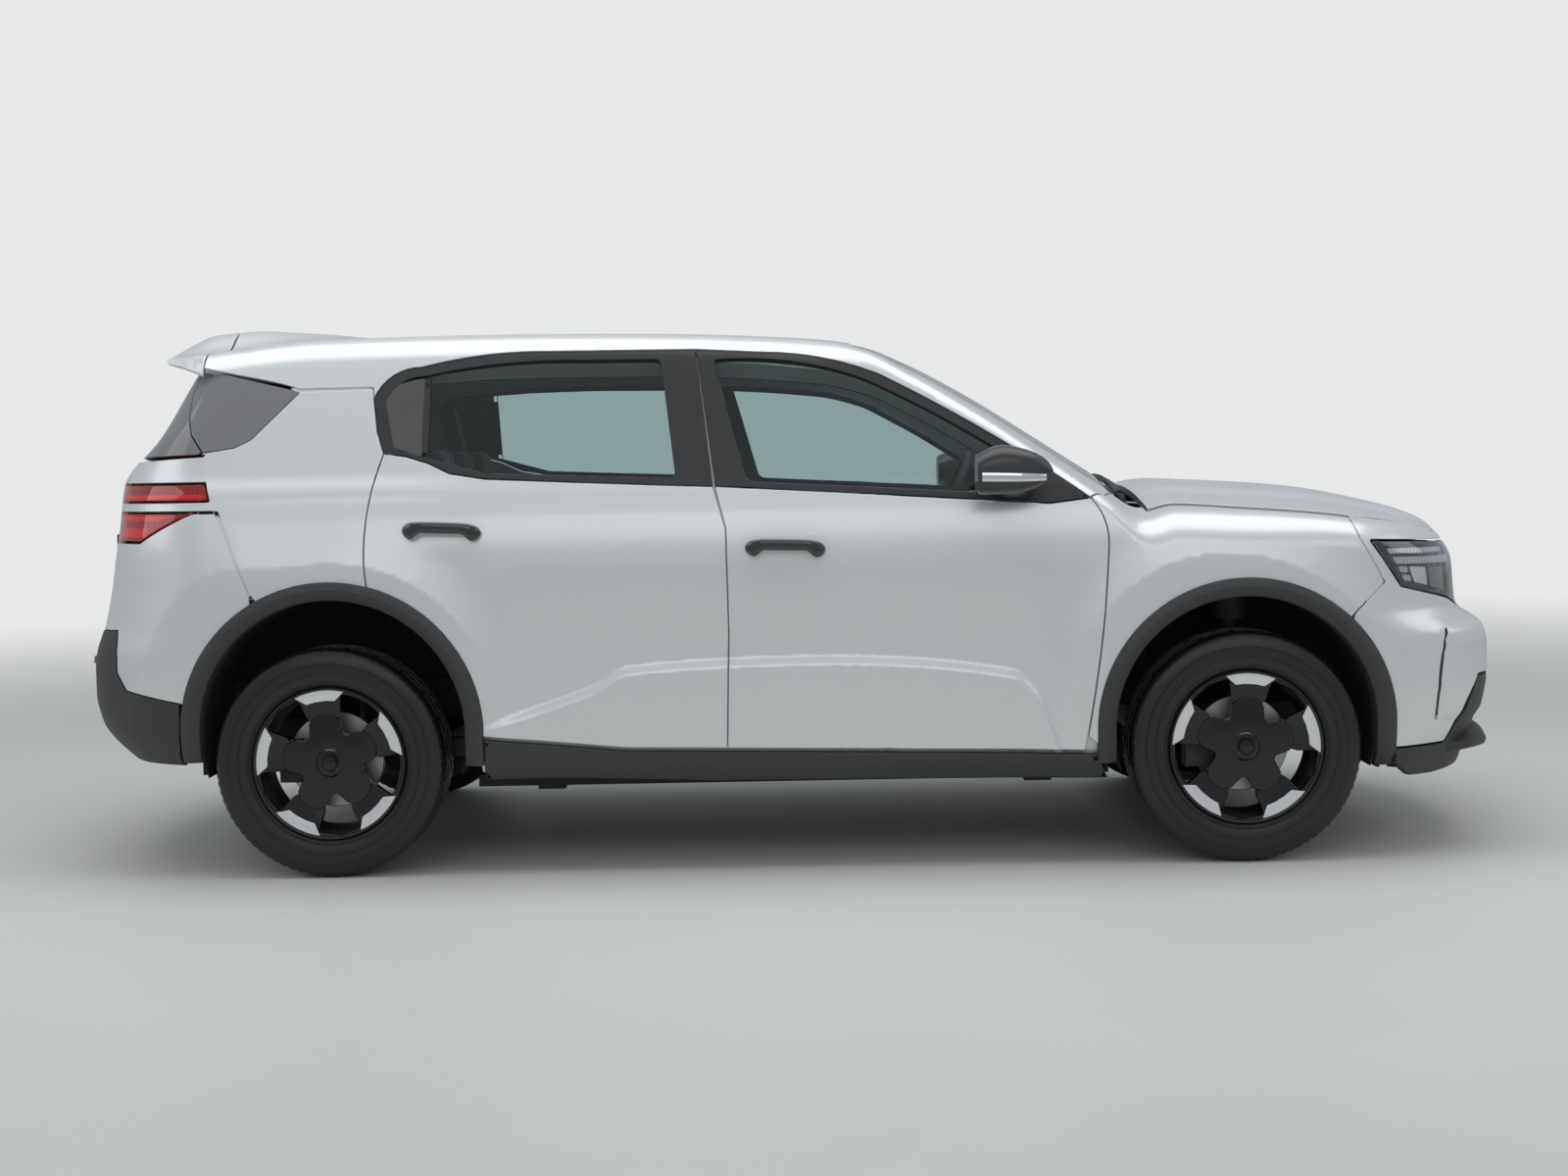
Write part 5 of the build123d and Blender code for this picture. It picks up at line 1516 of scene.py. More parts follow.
centre_edge = mirrored_outline(np.vstack([wrap_nose(0.8965, 0.907, 0.0, lens_inner_way),
                                          wrap_nose(0.6985, 0.6985, lens_inner_way, 0.0)]))
centre = Panel(around_nose, centre_edge, depth=0.003, thick=0.014, gap=0.003, spacing=0.02)
fitted(centre.piece("front_gloss_panel", gloss_black), "body", "front_panel")
for k in range(3):
    z = 0.735 + 0.030 * k
    rib = Panel(around_nose, mirrored_outline(np.vstack([wrap_nose(z + 0.006, z + 0.006, 0.0, 0.36),
                                                         wrap_nose(z, z, 0.36, 0.0)])),
                depth=-0.001, thick=0.006, gap=0, spacing=0.03, corner=0.002)
    fitted(rib.piece(f"front_panel_rib_{k + 1}", frame_black), "body")

# ---- door handles -----------------------------------------------------------------------------
# Gloss black bow handles, screwed on through the skin at both ends.
def handle_rings(x_from, x_to, z_from, z_to, flip):
    rings = []
    for t in np.linspace(0.004, 0.996, 45):
        across = abs(math.cos(math.pi * t))
        x = (x_from + x_to) / 2 - (x_to - x_from) / 2 * math.cos(math.pi * t)
        z = z_from + (z_to - z_from) * (x - x_from) / (x_to - x_from)
        end = math.sqrt(1 - across**5)
        top = z + 0.029 * end
        low = z - 0.029 * end + 0.024 * float(ease(across, 0.80, 0.50))
        stand = 0.010 + 0.022 * (1 - across**4)
        skin_y = on_side([(x, z)])[0, 1]
        wide = 0.012 * end + 0.001
        ring = []
        for angle in np.linspace(0, 2 * math.pi, 24, endpoint=False):
            c, s_ = math.cos(angle), math.sin(angle)
            y = skin_y - stand - wide * math.copysign(abs(c) ** 0.8, c)
            ring.append((x, y, (top + low) / 2 + (top - low) / 2 * math.copysign(abs(s_) ** 0.8, s_)))
        rings.append(ring)
    return np.array(rings) * flip


handles = (("front", -0.108, 0.124, 0.944, 0.936), ("rear", -1.100, -0.870, 1.012, 1.002))
for end, x_from, x_to, z_from, z_to in handles:
    on_both(f"{end}_handle", f"{end}_SIDE_door",
            lambda name, flip: lofted(name, handle_rings(x_from, x_to, z_from, z_to, flip), gloss_black,
                                      70))
    cup_edge = [(x_from + 0.035, z_from + 0.012), (x_to - 0.035, z_to + 0.012),
                (x_to - 0.045, z_to - 0.026),
                (x_from + 0.045, z_from - 0.026)]
    cup = Panel(over_side, on_side(cup_edge, True), depth=-0.0006, thick=0.003, gap=0, spacing=0.014,
                corner=0.018)
    both_sides(cup, f"{end}_handle_cup", paint, f"{end}_SIDE_door")

# ---- mirrors ----------------------------------------------------------------------------------
# Black housings on short feet, with a chrome lamp strip outside and silvered glass facing back.
def mirror_rings(flip):
    rings = []
    for t in (0.0, 0.010, 0.04, 0.12, 0.24, 0.38, 0.52, 0.66, 0.78, 0.87, 0.94, 0.98, 0.998):
        x = 0.557 + 0.217 * t
        shut = 1 - 0.10 * float(ease(t, 0.05, 0.0))
        top = 1.148 + 0.082 * shut * (1 - t**2.2) ** 0.5 * (1 - 0.30 * float(ease(t, 0.34, 0.0)))
        low = 1.148 - 0.064 * shut * (1 - t**3.2) ** 0.5
        out = -1.006 + 0.050 * t**3
        inner = -0.862 - 0.036 * t**2
        ring = []
        for angle in np.linspace(0, 2 * math.pi, 40, endpoint=False):
            c, s_ = math.cos(angle), math.sin(angle)
            y = (out + inner) / 2 + (inner - out) / 2 * shut * math.copysign(abs(c) ** 0.85, c)
            ring.append((x, y, (top + low) / 2 + (top - low) / 2 * math.copysign(abs(s_) ** 0.72, s_)))
        rings.append(ring)
    return np.array(rings) * flip


def mirror_strip(flip):
    rings = []
    for t in np.linspace(0.05, 0.90, 18):
        x = 0.557 + 0.217 * t
        out = -1.0072 + 0.050 * t**3
        z = 1.136 - 0.006 * t
        half = 0.0125 * (1 - 0.5 * t**4)
        rings.append([(x, out + 0.0008, z + half), (x, out - 0.0012, z + half * 0.6),
                      (x, out - 0.0014, z - half * 0.6),
                      (x, out + 0.0008, z - half), (x, out + 0.010, z - half), (x, out + 0.010, z + half)])
    return np.array(rings) * flip


def mirror_foot(flip):
    rings = []
    for t in np.linspace(0, 1, 8):
        y = -0.775 - 0.135 * t
        z = 1.078 + 0.034 * t**1.5
        ring = []
        for angle in np.linspace(0, 2 * math.pi, 20, endpoint=False):
            ring.append((0.682 - 0.02 * t + (0.062 - 0.014 * t) * math.cos(angle), y,
                         z + (0.020 + 0.004 * t) * math.sin(angle)))
        rings.append(ring)
    return np.array(rings) * flip


housing_black = Finish("mirror_housing_black", (0.030, 0.031, 0.033), Roughness=0.34, Coat_Weight=0.25)
housing_grain = housing_black.noise(300, 2)
housing_black.set(Roughness=0.30 + housing_grain * 0.08)
shells = on_both("mirror_housing", "front_SIDE_door",
                 lambda name, flip: lofted(name, mirror_rings(flip), housing_black, 65))
for piece, side in zip(shells, ("right", "left")):
    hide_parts(f"{side}_mirror")
on_both("mirror_lamp_strip", "front_SIDE_door",
        lambda name, flip: lofted(name, mirror_strip(flip), chrome, 40))
on_both("mirror_foot", "front_SIDE_door",
        lambda name, flip: lofted(name, mirror_foot(flip), housing_black, 60))


def mirror_glass(flip):
    face = []
    for angle in np.linspace(0, 2 * math.pi, 32, endpoint=False):
        c, s_ = math.cos(angle), math.sin(angle)
        face.append((-0.932 + 0.060 * np.sign(c) * abs(c) ** 0.5,
                     1.138 + 0.042 * np.sign(s_) * abs(s_) ** 0.5))
    return np.array([[(x, y, z) for y, z in face] for x in (0.5615, 0.5655)]) * flip


on_both("mirror_glass", "front_SIDE_door",
        lambda name, flip: lofted(name, mirror_glass(flip), chrome, 40))

# The rear doors' fixed rear pane, behind an upright divider bar.
pane_grey = Finish("fixed_pane_grey", (0.085, 0.083, 0.082), Roughness=0.12, Coat_Weight=0.6)
pane_haze = pane_grey.noise(14, 2)
pane_grey.set(Base_Color=pane_grey.blend(pane_haze, (0.075, 0.073, 0.072), (0.10, 0.098, 0.096)))
pane_edge = [(-1.183, 1.361), (-1.150, 1.439), (-1.050, 1.462), (-1.050, 1.222), (-1.165, 1.261)]
pane = Panel(over_side, on_side(pane_edge, True), depth=0.0035, thick=0.003, gap=0, spacing=0.03,
             corner=0.02)
both_sides(pane, "rear_fixed_pane", pane_grey, "rear_SIDE_door")
divider_edge = [(-1.054, 1.468), (-1.036, 1.470), (-1.036, 1.212), (-1.054, 1.216)]
divider = Panel(over_side, on_side(divider_edge, True), depth=0.001, thick=0.010, gap=0, spacing=0.03,
                corner=0.002)
both_sides(divider, "rear_glass_divider", frame_black, "rear_SIDE_door")

# ---- scuttle and wipers -----------------------------------------------------------------------
# A black grained cover below the screen, two wiper arms on it and their blades on the glass.
scuttle_rings = []
for y in np.linspace(-0.640, 0.640, 41):
    top = float(crown_height(1.02) - crown_drop(1.02) * y * y) - 0.012 - 0.030 * float(ease(abs(y), 0.40,
        0.60))
    scuttle_rings.append([(0.981, y, top + 0.014), (1.010, y, top), (1.052, y, top - 0.014),
                          (1.052, y, top - 0.030),
                          (0.981, y, top - 0.012)])
scuttle = fitted(lofted("scuttle_cover", scuttle_rings, cladding, 30), "body",
                 "scuttle_panel")
for k, (pivot_y, blade_from, blade_to) in enumerate(((-0.49, -0.575, -0.02), (0.11, 0.03, 0.58))):
    top = float(crown_height(1.02) - crown_drop(1.02) * pivot_y**2)
    cap_rings = [[(1.026 + r * math.cos(t), pivot_y + r * math.sin(t), z) for t in np.linspace(0,
        2 * math.pi, 20, endpoint=False)]
                 for r, z in ((0.016, top - 0.040), (0.016, top - 0.006), (0.011, top - 0.001))]
    pivot = lofted(f"wiper_pivot_{k + 1}", cap_rings, frame_black, 45)
    blade_rings, arm_rings = [], []
    for y in np.linspace(blade_from, blade_to, 24):
        z = float(crown_height(1.0) - crown_drop(1.0) * y * y) + 0.003
        lift = 0.006 * (1 - (2 * (y - blade_from) / (blade_to - blade_from) - 1) ** 2)
        blade_rings.append([(0.996, y, z - 0.004), (1.002, y, z + 0.004 + lift),
                            (1.008, y, z + 0.003 + lift), (1.006, y, z - 0.004)])
    reach_to = pivot_y + 0.30
    for t in np.linspace(0, 1, 10):
        y = pivot_y + (reach_to - pivot_y) * t
        x = 1.026 - 0.022 * t
        z = float(crown_height(x) - crown_drop(x) * y * y) + 0.003
        z += 0.010 * math.sin(math.pi * (0.25 + 0.6 * t))
        wide = 0.009 - 0.004 * t
        arm_rings.append([(x - wide, y, z - 0.003), (x - wide, y, z + 0.003), (x + wide, y, z + 0.003),
                          (x + wide, y, z - 0.003)])
    for piece in (pivot, lofted(f"wiper_blade_{k + 1}", blade_rings, frame_black, 40),
                  lofted(f"wiper_arm_{k + 1}", arm_rings, frame_black, 40)):
        fitted(piece, "body")

# ---- wheels -----------------------------------------------------------------------------------
# Cast gloss-black wheels with five machined faces at the rim and a raised five-petal centre.
half_wheelbase, axle_height, wheel_plane = 1.335, 0.337, 0.765


class WheelFace:
    """Panels laid out on the outer face of a right-hand wheel: (x, z) from its hub."""

    def __init__(self, centre_x, dished):
        self.centre_x = centre_x
        self.dished = dished

    def form(self, p):
        reach = np.hypot(p[:, 0] - self.centre_x, p[:, 2] - axle_height)
        return -p[:, 1] - wheel_plane - self.dished(reach)

    def rays(self, uv):
        start = np.column_stack([self.centre_x + uv[:, 0], np.full(len(uv), -0.60), axle_height + uv[:, 1]])
        return start, np.tile((0.0, -1.0, 0.0), (len(uv), 1))

    def flat(self, p):
        return p - (self.centre_x, axle_height)


def spoke_dish(reach):
    return 0.066 + 0.022 * ease(reach, 0.10, 0.215)


def petal_dish(reach):
    return 0.076 + 0.004 * ease(reach, 0.15, 0.05)


def polar(pairs, centre_x, turn):
    """(radius, degrees) pairs as points of the wheel's face."""
    return [(centre_x + r * math.cos(math.radians(a + turn)),
             axle_height + r * math.sin(math.radians(a + turn))) for r, a in pairs]


def turned_body(name, centre_x, profile, finish, flip, count=96, sharp=35):
    """A closed profile of (radius, outward offset) turned about a wheel's axle."""
    rings = [
        [(centre_x + r * math.cos(t), -wheel_plane - out,
          axle_height + r * math.sin(t)) for r, out in profile]
        for t in np.linspace(0, 2 * math.pi, count, endpoint=False)
    ]
    return lofted(name, np.array(rings) * flip, finish, sharp, looped=True)


wheel_gloss = Finish("wheel_gloss_black", (0.004, 0.004, 0.005), Roughness=0.12, Specular_IOR_Level=0.35,
                     Coat_Weight=0.35, Coat_Roughness=0.03)
wheel_film = wheel_gloss.noise(24, 3)
wheel_gloss.set(Roughness=0.10 + wheel_film * 0.10)
machined = Finish("machined_alloy", (0.78, 0.79, 0.80), Metallic=0.75, Roughness=0.30, Coat_Weight=0.5)
lathe_lines = machined.noise(900, 2)
machined.set(Roughness=0.24 + lathe_lines * 0.14)
barrel_dark = Finish("wheel_barrel_dark", (0.020, 0.020, 0.022), Roughness=0.45)
barrel_dust = barrel_dark.noise(40, 3)
barrel_dark.set(Base_Color=barrel_dark.blend(barrel_dust, (0.007, 0.007, 0.008), (0.020, 0.020, 0.019)))
disc_steel = Finish("brake_disc_steel", (0.42, 0.42, 0.42), Metallic=0.9, Roughness=0.38)
disc_lines = disc_steel.noise(600, 2)
disc_steel.set(Roughness=0.30 + disc_lines * 0.18)

barrel_profile = [
    (0.219, 0.080), (0.224, 0.091), (0.221, 0.097), (0.216, 0.094), (0.211, 0.080), (0.202, 0.060),
    (0.198, -0.050),
    (0.206, -0.080), (0.218, -0.088), (0.221, -0.080), (0.206, -0.070), (0.203, -0.050), (0.207, 0.060),
]
cap_profile = [(0.0001, 0.0885), (0.012, 0.088), (0.019, 0.0865), (0.021, 0.083), (0.023, 0.0825),
               (0.028, 0.086),
               (0.037, 0.0855), (0.042, 0.081), (0.043, 0.066), (0.0001, 0.066)]
disc_profile = [(0.046, -0.012), (0.052, -0.004), (0.060, 0.002), (0.078, 0.002), (0.080, -0.008),
                (0.139, -0.008),
                (0.1415, -0.010), (0.1415, -0.024), (0.139, -0.026), (0.046, -0.026)]
hub_profile = [(0.034, -0.020), (0.034, 0.058), (0.070, 0.050), (0.074, 0.044), (0.066, -0.004),
               (0.060, -0.020)]
for end, centre_x, first_angle in (("front", half_wheelbase, 86), ("rear", -half_wheelbase, 97)):
    spoke_face = WheelFace(centre_x, spoke_dish)
    petal_face = WheelFace(centre_x, petal_dish)
    rim_circle = polar([(0.2215, a) for a in range(0, 360, 4)], centre_x, 0)
    windows, bright = [], []
    for k in range(5):
        turn = first_angle + 72 * k
        windows.append(polar([(0.098, 14), (0.100, 58), (0.150, 52), (0.206, 54), (0.212, 36), (0.206, 18),
                              (0.150, 20)],
                             centre_x, turn))
        bright.append(polar([(0.2205, a) for a in (-20.7, -14, -7, 0, 7, 14, 20.7)] +
                            [(0.183, a) for a in (13.3, 5, -5, -13.3)], centre_x, turn))
    petals = []
    for k in range(5):
        turn = first_angle + 72 * k
        petals += polar([(0.092, -32), (0.128, -21), (0.142, -11), (0.145, 0), (0.142, 11), (0.128, 21),
                         (0.092, 32)], centre_x, turn)
    cut = dict(gap=0, hem=0.0030, spacing=0.012)
    spokes = Panel(spoke_face, rim_circle, windows, thick=0.022, corner=0.0005, hole_corner=0.010, **cut)
    faces = [Panel(spoke_face, outline, depth=-0.0016, thick=0.006, corner=0.003, gap=0, hem=0.0012,
                   spacing=0.012) for outline in bright]
    centre_disc = Panel(petal_face, petals, thick=0.014, corner=0.008, **cut)
    wheel_body = f"{end}_SIDE_wheel"
    made = both_sides(spokes, f"{end}_wheel_spokes", wheel_gloss, wheel_body)
    for piece, side in zip(made, ("right", "left")):
        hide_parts(f"{end}_{side}_wheel")
    both_sides(centre_disc, f"{end}_wheel_petals", wheel_gloss, wheel_body)
    for k, face in enumerate(faces):
        both_sides(face, f"{end}_wheel_bright_{k + 1}", machined, wheel_body)
    for part, profile, finish, slot_name in (
        ("barrel", barrel_profile, barrel_dark, "gloss_black"),
        ("cap", cap_profile, wheel_gloss, "gloss_black"),
        ("disc", disc_profile, disc_steel, "steel"), ("hub", hub_profile, barrel_dark, "cast"),
    ):
        on_both(f"{end}_wheel_{part}", wheel_body,
                lambda name, flip: turned_body(name, centre_x, profile, finish, flip))

# ---- tyres ------------------------------------------------------------------------------------
# Road tyres with four grooves, cross cuts in the shoulders and plain rings moulded on the sidewall.
rubber = Finish("tyre_rubber", (0.010, 0.010, 0.011), Roughness=0.5, Specular_IOR_Level=0.5)
rubber_bloom = rubber.noise(30, 4)
rubber_grain = rubber.noise(900, 2)
rubber.set(
    Base_Color=rubber.blend(rubber_bloom, (0.006, 0.006, 0.007), (0.013, 0.013, 0.013)),
    Roughness=0.26 + rubber_bloom * 0.20,
    Normal=rubber.bump(rubber_grain, 0.25, 0.0006),
)


def tyre_section():
    """(radius, outward offset) for the outer half, from the bead over the shoulder to the middle of the
    tread.
    """
    half = [(0.2205, 0.084), (0.226, 0.092), (0.233, 0.0975), (0.2345, 0.1010), (0.238, 0.1015),
            (0.240, 0.0995), (0.250, 0.1030),
            (0.262, 0.1050), (0.2632, 0.1070), (0.266, 0.1072), (0.2675, 0.1052), (0.278, 0.1062),
            (0.290, 0.1050),
            (0.2912, 0.1066), (0.2938, 0.1064), (0.295, 0.1044), (0.303, 0.1033), (0.311, 0.1008),
            (0.318, 0.0985),
            (0.324, 0.0955), (0.329, 0.0915), (0.3325, 0.0865), (0.3348, 0.0800), (0.3358, 0.0720)]
    tread = [(0.3362, 0.0640), (0.3364, 0.0560), (0.3365, 0.0520), (0.3290, 0.0505), (0.3290, 0.0425),
             (0.3366, 0.0410),
             (0.3368, 0.0300), (0.3369, 0.0200), (0.3369, 0.0175), (0.3290, 0.0160), (0.3290, 0.0080),
             (0.3369, 0.0065)]
    return half + tread


def tyre_mesh(name, centre_x, flip):
    outer = tyre_section()
    section = outer + [(r, -w) for r, w in reversed(outer)] + [(0.232, -0.078), (0.232, 0.078)]
    count = 240
    rings = []
    for i in range(count):
        angle = 2 * math.pi * i / count
        ring = []
        for r, w in section:
            cut = 0.0
            if r > 0.3285 and abs(w) > 0.054:
                cut = 0.0024 if (i + (1 if w > 0 else 0)) % 3 == 0 else 0.0
            elif 0.3360 < r and abs(w) < 0.042:
                cut = 0.0040 if (i + int(abs(w) * 150)) % 10 == 0 else 0.0
            if 0.3025 < r < 0.3250:
                step = (i + int((r - 0.30) * 380)) % 6
                cut = -0.0016 if step < 3 and (i // 24) % 2 == 0 else 0.0
                ring.append((centre_x + r * math.cos(angle), -wheel_plane - w + math.copysign(cut, w),
                             axle_height + r * math.sin(angle)))
                continue
            ring.append((centre_x + (r - cut) * math.cos(angle), -wheel_plane - w,
                         axle_height + (r - cut) * math.sin(angle)))
        rings.append(ring)
    return lofted(name, np.array(rings) * flip, rubber, 28, looped=True)


for end, centre_x in (("front", half_wheelbase), ("rear", -half_wheelbase)):
    made = on_both(f"{end}_tyre_tread", f"{end}_SIDE_wheel",
                   lambda name, flip: tyre_mesh(name, centre_x, flip))
    for piece, side in zip(made, ("right", "left")):
        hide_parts(f"{end}_{side}_tyre")

# ---- cabin ------------------------------------------------------------------------------------
# Woven cloth over foam on steel frames, a grained dashboard, and the padded steering wheel.
cloth = Finish("woven_cloth", (0.055, 0.057, 0.062), Roughness=0.9, Sheen_Weight=0.4)
weave_across = cloth.node("Math", {"operation": "SINE"}, {0: cloth.axis(1) * 2600})
weave_along = cloth.node("Math", {"operation": "SINE"}, {0: (cloth.axis(0) + cloth.axis(2)) * 2600})
weave = weave_across * weave_along * 0.5 + 0.5
cloth_cloud = cloth.noise(8, 3)
cloth.set(
    Base_Color=cloth.blend(cloth_cloud, (0.040, 0.042, 0.047), (0.075, 0.078, 0.084)),
    Normal=cloth.bump(weave, 0.5, 0.0006),
)
soft_trim = Finish("grained_trim", (0.030, 0.031, 0.033), Roughness=0.68)
trim_grain = soft_trim.noise(700, 3)
soft_trim.set(Roughness=0.58 + trim_grain * 0.16, Normal=soft_trim.bump(trim_grain, 0.4, 0.0005))


def pad_shape(side_points, y_low, y_high, bolster=0.0, rise=(0.0, 1.0)):
    """Rings of a cushion's first shape: a side outline carried across the car."""
    outline = divided(rounded(side_points, 0.035), 0.03)
    middle = outline.mean(0)
    rings = []
    for t in np.linspace(-1, 1, 15):
        draw = 1 - 0.22 * abs(t) ** 6
        lifted = bolster * ease(abs(t), 0.45, 0.80)
        ring = []
        for x, z in outline:
            toward = np.array(rise) if (np.array((x, z)) - middle) @ rise > 0 else np.zeros(2)
            px, pz = middle + (np.array((x, z)) - middle) * draw + toward * lifted
            ring.append((px, (y_low + y_high) / 2 + (y_high - y_low) / 2 * t, pz))
        rings.append(ring)
    return np.array(rings)


pad_voxel = 0.011


def stuffed(name, rings, cap=0.024, seams=()):
    """Foam under cloth: remeshed, blown up by a cloth simulation, smoothed, then seamed."""
    pad = lofted(name, rings, cloth, 60)
    remesh = pad.modifiers.new("even", "REMESH")
    remesh.mode = "VOXEL"
    remesh.voxel_size = pad_voxel
    even = bpy.data.meshes.new_from_object(pad.evaluated_get(bpy.context.evaluated_depsgraph_get()))
    pad.modifiers.clear()
    pad.data = even
    start = np.array([v.co for v in even.vertices])
    swell = pad.modifiers.new("swell", "CLOTH")
    swell.settings.use_pressure = True
    swell.settings.uniform_pressure_force = 4
    swell.settings.effector_weights.gravity = 0
    for moment in range(1, 21):
        scene.frame_set(moment)
    blown = bpy.data.meshes.new_from_object(pad.evaluated_get(bpy.context.evaluated_depsgraph_get()))
    moved = np.array([v.co for v in blown.vertices]) - start
    far = np.linalg.norm(moved, axis=1, keepdims=True)
    settled = start + moved * np.minimum(1, cap / np.maximum(far, 1e-9))
    pad.modifiers.clear()
    even.vertices.foreach_set("co", settled.ravel())
    smooth = pad.modifiers.new("fine", "SUBSURF")
    smooth.levels = 1
    fine = bpy.data.meshes.new_from_object(pad.evaluated_get(bpy.context.evaluated_depsgraph_get()))
    points = np.array([v.co for v in fine.vertices])
    normals = np.array([v.normal for v in fine.vertices])
    for y in seams:
        points -= normals * (0.006 * np.exp(-(((points[:, 1] - y) / 0.007) ** 2)))[:, None]
    faces = [tuple(p.vertices) for p in fine.polygons]
    bpy.data.objects.remove(pad)
    scene.frame_set(1)
    return points - (mid_wheelbase, 0, 0), faces


pads = {
    "front_seat_base": (pad_shape([(-0.03, 0.525), (0.415, 0.535), (0.425, 0.60), (0.385, 0.625),
                                   (-0.005, 0.59)],
                                  -0.575, -0.145, 0.022), (-0.27, -0.45), "front_seats"),
    "front_seat_back": (pad_shape([(-0.075, 0.53), (-0.015, 0.53), (0.005, 0.63), (-0.19, 1.12),
                                   (-0.23, 1.145), (-0.265, 1.12)],
                                  -0.575, -0.145, 0.030, (0.92, 0.38)), (-0.26, -0.46), None),
    "front_head_rest": (pad_shape([(-0.225, 1.195), (-0.205, 1.24), (-0.218, 1.325), (-0.25, 1.343),
                                   (-0.283, 1.315), (-0.27, 1.195)],
                                  -0.465, -0.255), (), None),
}
for name, (rings, seams, node) in pads.items():
    points, faces = stuffed(name, rings, 0.016 if "head" in name else 0.024, seams)
    made = on_both(name, "body", lambda piece_name, flip: finished(piece_name, points * flip,
        faces, cloth, 80))
    if node:
        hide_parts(node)
rear_pads = {
    "rear_bench_base": (pad_shape([(-0.86, 0.555), (-0.46, 0.555), (-0.455, 0.635), (-0.50, 0.66),
                                   (-0.86, 0.645)],
                                  -0.595, 0.595), (-0.21, 0.21, -0.40, 0.40), "rear_seat"),
    "rear_bench_back": (pad_shape([(-0.86, 0.69), (-0.945, 0.72), (-1.085, 1.125), (-1.07, 1.142),
                                   (-1.03, 1.140)],
                                  -0.595, 0.595), (-0.21, 0.21, -0.40, 0.40), None),
}
for name, (rings, seams, node) in rear_pads.items():
    points, faces = stuffed(name, rings, 0.018, seams)
    piece = fitted(finished(name, points, faces, cloth, 80), "body")
    if node:
        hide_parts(node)
rest_points, rest_faces = stuffed("rear_head_rest", pad_shape([(-1.09, 1.165), (-1.03, 1.165), (-1.035,
    1.24), (-1.085, 1.25)],
                                                              -0.105, 0.105), 0.010)
for k, y in enumerate((-0.39, 0.0, 0.39)):
    piece = fitted(finished(f"rear_head_rest_{k + 1}", rest_points + (0, y, 0), rest_faces, cloth, 80),
                   "body")


def plain_part(name, low, high, finish, edge=0.006, body="body"):
    piece = block(name, low, high, finish, edge)
    fitted(piece, body)
    return piece


for side, sign in (("right", -1), ("left", 1)):
    for k, y in enumerate((0.18, 0.54)):
        y = y * sign
        plain_part(f"seat_rail_{side}_{k + 1}", (-0.02, y - 0.018, 0.284), (0.38, y + 0.018, 0.505),
                   soft_trim, 0.008)
    plain_part(f"seat_frame_{side}", (-0.04, min(0.15 * sign, 0.57 * sign), 0.500),
               (0.41, max(0.15 * sign, 0.57 * sign), 0.535),
               soft_trim, 0.012)
    for k, y in enumerate((0.315, 0.405)):
        y = y * sign
        plain_part(f"head_rest_post_{side}_{k + 1}", (-0.252, y - 0.006, 1.125), (-0.240, y + 0.006, 1.215),
                   disc_steel, 0.005)

dash_outline = [(0.645, 0.785), (0.615, 0.900), (0.655, 1.005), (0.762, 1.063), (0.875, 1.044),
                (0.895, 0.802), (0.820, 0.725)]
dash_shape = divided(rounded(dash_outline, 0.04), 0.03)
dash_rings = [[(x, y, z) for x, z in dash_shape] for y in np.linspace(-0.636, 0.636, 41)]
fitted(lofted("dashboard_top", dash_rings, soft_trim, 40), "body", "dashboard")
plain_part("dash_screen", (0.602, -0.135, 0.945), (0.622, 0.105, 1.085), gloss_black, 0.006)
plain_part("dash_instruments", (0.616, 0.255, 0.985), (0.700, 0.465, 1.068), frame_black,
           0.012)
for k, y in enumerate((-0.56, -0.20, 0.16, 0.56)):
    plain_part(f"dash_vent_{k + 1}", (0.612, y - 0.055, 0.905), (0.640, y + 0.055, 0.945), frame_black,
               0.008)
plain_part("centre_console", (-0.098, -0.103, 0.284), (0.698, 0.103, 0.535), soft_trim, 0.022)
plain_part("console_arm_rest", (-0.090, -0.085, 0.530), (0.150, 0.085, 0.558), cloth, 0.012)
plain_part("console_tower", (0.632, -0.102, 0.520), (0.758, 0.102, 0.795), soft_trim, 0.016)
plain_part("gear_selector", (0.360, -0.022, 0.530), (0.405, 0.022, 0.556), gloss_black,
           0.008)

carpet = Finish("cabin_carpet", (0.022, 0.022, 0.024), Roughness=1.0)
carpet_pile = carpet.noise(900, 3)
carpet.set(Base_Color=carpet.blend(carpet_pile, (0.012, 0.012, 0.013), (0.040, 0.040, 0.043)),
           Normal=carpet.bump(carpet_pile, 0.8, 0.003))
for side, sign in (("right", -1), ("left", 1)):
    low, high = sorted((0.108 * sign, 0.735 * sign))
    plain_part(f"carpet_{side}", (-0.71, low, 0.2825), (0.90, high, 0.2870), carpet, 0.0015)
plain_part("load_carpet", (-1.885, -0.478, 0.6905), (-1.16, 0.478, 0.6960), carpet, 0.002)

# Steering wheel: a padded rim, three arms and a plain pad, on the column.
tilt = math.radians(25)
wheel_middle = np.array((0.560, 0.360, 1.050))
toward_driver = np.array((-math.cos(tilt), 0, math.sin(tilt)))
wheel_up = np.array((math.sin(tilt), 0, math.cos(tilt)))
wheel_side = np.array((0.0, 1.0, 0.0))


def on_wheel(across, up, out):
    return wheel_middle + wheel_side * across + wheel_up * up + toward_driver * out


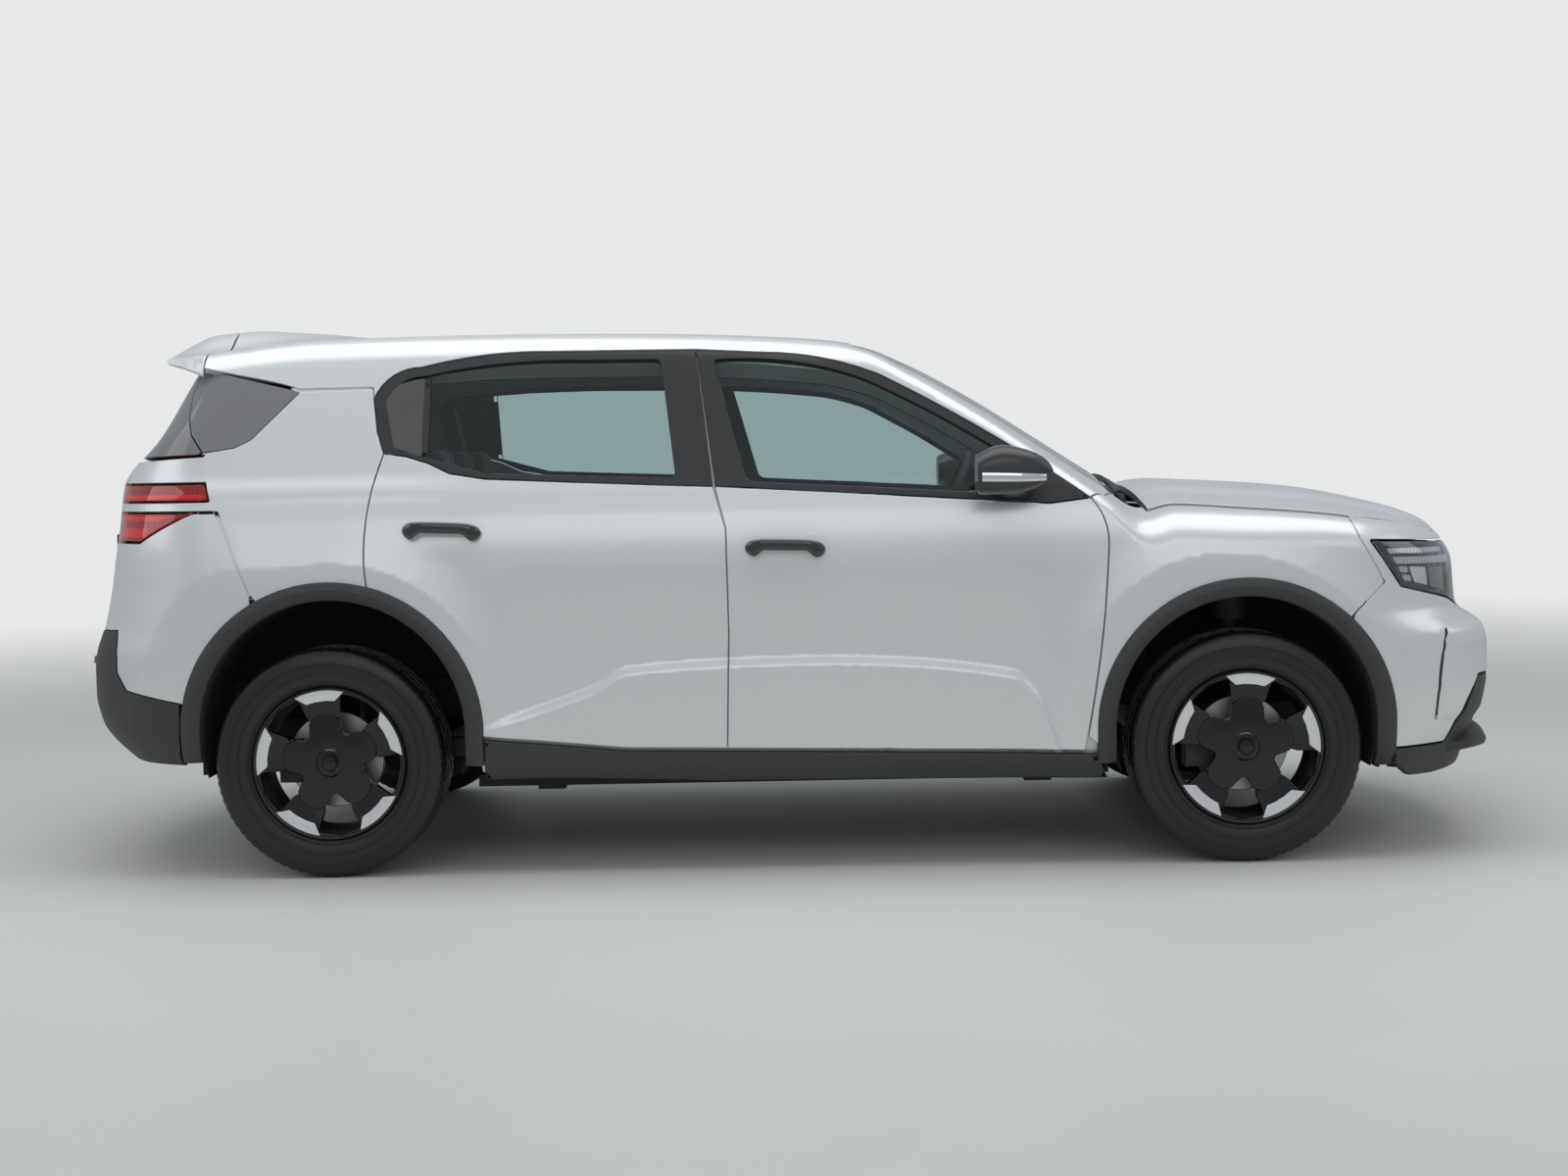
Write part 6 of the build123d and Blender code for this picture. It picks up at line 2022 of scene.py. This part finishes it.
rim_rings = []
for t in np.linspace(0, 2 * math.pi, 72, endpoint=False):
    ring = []
    for s_ in np.linspace(0, 2 * math.pi, 14, endpoint=False):
        grow = 0.165 + 0.0140 * math.cos(s_)
        ring.append(on_wheel(grow * math.cos(t), grow * math.sin(t), 0.0145 * math.sin(s_)))
    rim_rings.append(ring)
rim = fitted(lofted("steering_rim", rim_rings, soft_trim, 60, looped=True), "body",
             "steering_wheel")
arm_lines = [((0.045, 0.0), (0.156, 0.006)), ((-0.045, 0.0), (-0.156, 0.006)),
             ((0.0, -0.040), (0.0, -0.156))]
for k, ((a, b), (c, d)) in enumerate(arm_lines):
    along = np.array((c - a, d - b))
    across = np.array((-along[1], along[0])) / np.linalg.norm(along)
    rings = []
    for t, half in ((0, 0.022), (0.4, 0.014), (0.8, 0.013), (1, 0.018)):
        spot = np.array((a, b)) + along * t
        rings.append([on_wheel(*(spot + across * half * u), -0.004 + 0.006 * w) for u, w in ((-1, -1),
            (1, -1), (1, 1), (-1, 1))])
    fitted(lofted(f"steering_arm_{k + 1}", rings, gloss_black, 40), "body")
pad_rings = []
for out, share in ((-0.014, 0.85), (-0.006, 1.0), (0.004, 0.97), (0.0075, 0.80), (0.0080, 0.30)):
    pad_rings.append([on_wheel(0.060 * share * math.copysign(abs(math.cos(t)) ** 0.8, math.cos(t)),
                               0.046 * share * math.copysign(abs(math.sin(t)) ** 0.8, math.sin(t)), out)
                      for t in np.linspace(0, 2 * math.pi, 40, endpoint=False)])
fitted(lofted("steering_pad", pad_rings, soft_trim, 45), "body")
column_rings = [[on_wheel(0.033 * math.cos(t), 0.033 * math.sin(t), out) for t in np.linspace(0,
    2 * math.pi, 24, endpoint=False)]
                for out in (-0.016, -0.05, -0.09, -0.128)]
column = fitted(lofted("steering_column", column_rings, soft_trim, 50), "body")

# ---- chassis finishes -------------------------------------------------------------------------
# The pieces kept straight from the frame: sealed floor sheets, cast carriers, dark pressed steel.
sealer = Finish("underbody_sealer", (0.016, 0.016, 0.017), Roughness=0.85)
sealer_lumps = sealer.noise(120, 4)
sealer.set(
    Base_Color=sealer.blend(sealer_lumps, (0.010, 0.010, 0.011), (0.026, 0.026, 0.027)),
    Normal=sealer.bump(sealer_lumps, 0.4, 0.002),
)
cast_iron = Finish("cast_iron", (0.07, 0.068, 0.066), Metallic=0.6, Roughness=0.6)
iron_spots = cast_iron.noise(90, 4)
cast_iron.set(
    Base_Color=cast_iron.blend(iron_spots, (0.045, 0.044, 0.043), (0.10, 0.096, 0.090)),
    Normal=cast_iron.bump(iron_spots, 0.35, 0.001),
)
pressed_steel = Finish("coated_steel", (0.030, 0.030, 0.032), Metallic=0.3, Roughness=0.55)
steel_haze = pressed_steel.noise(50, 3)
pressed_steel.set(
    Base_Color=pressed_steel.blend(steel_haze, (0.020, 0.020, 0.022), (0.045, 0.045, 0.047)),
    Roughness=0.45 + steel_haze * 0.2,
)
kept_nodes = {
    "floor_pan": sealer, "load_floor": sealer, "power_unit": cast_iron, "front_suspension": pressed_steel,
    "rear_axle": pressed_steel, "front_right_knuckle": cast_iron, "front_left_knuckle": cast_iron,
}
for node, finish in kept_nodes.items():
    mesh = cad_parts[node].data
    mesh.materials.clear()
    mesh.materials.append(finish.material)
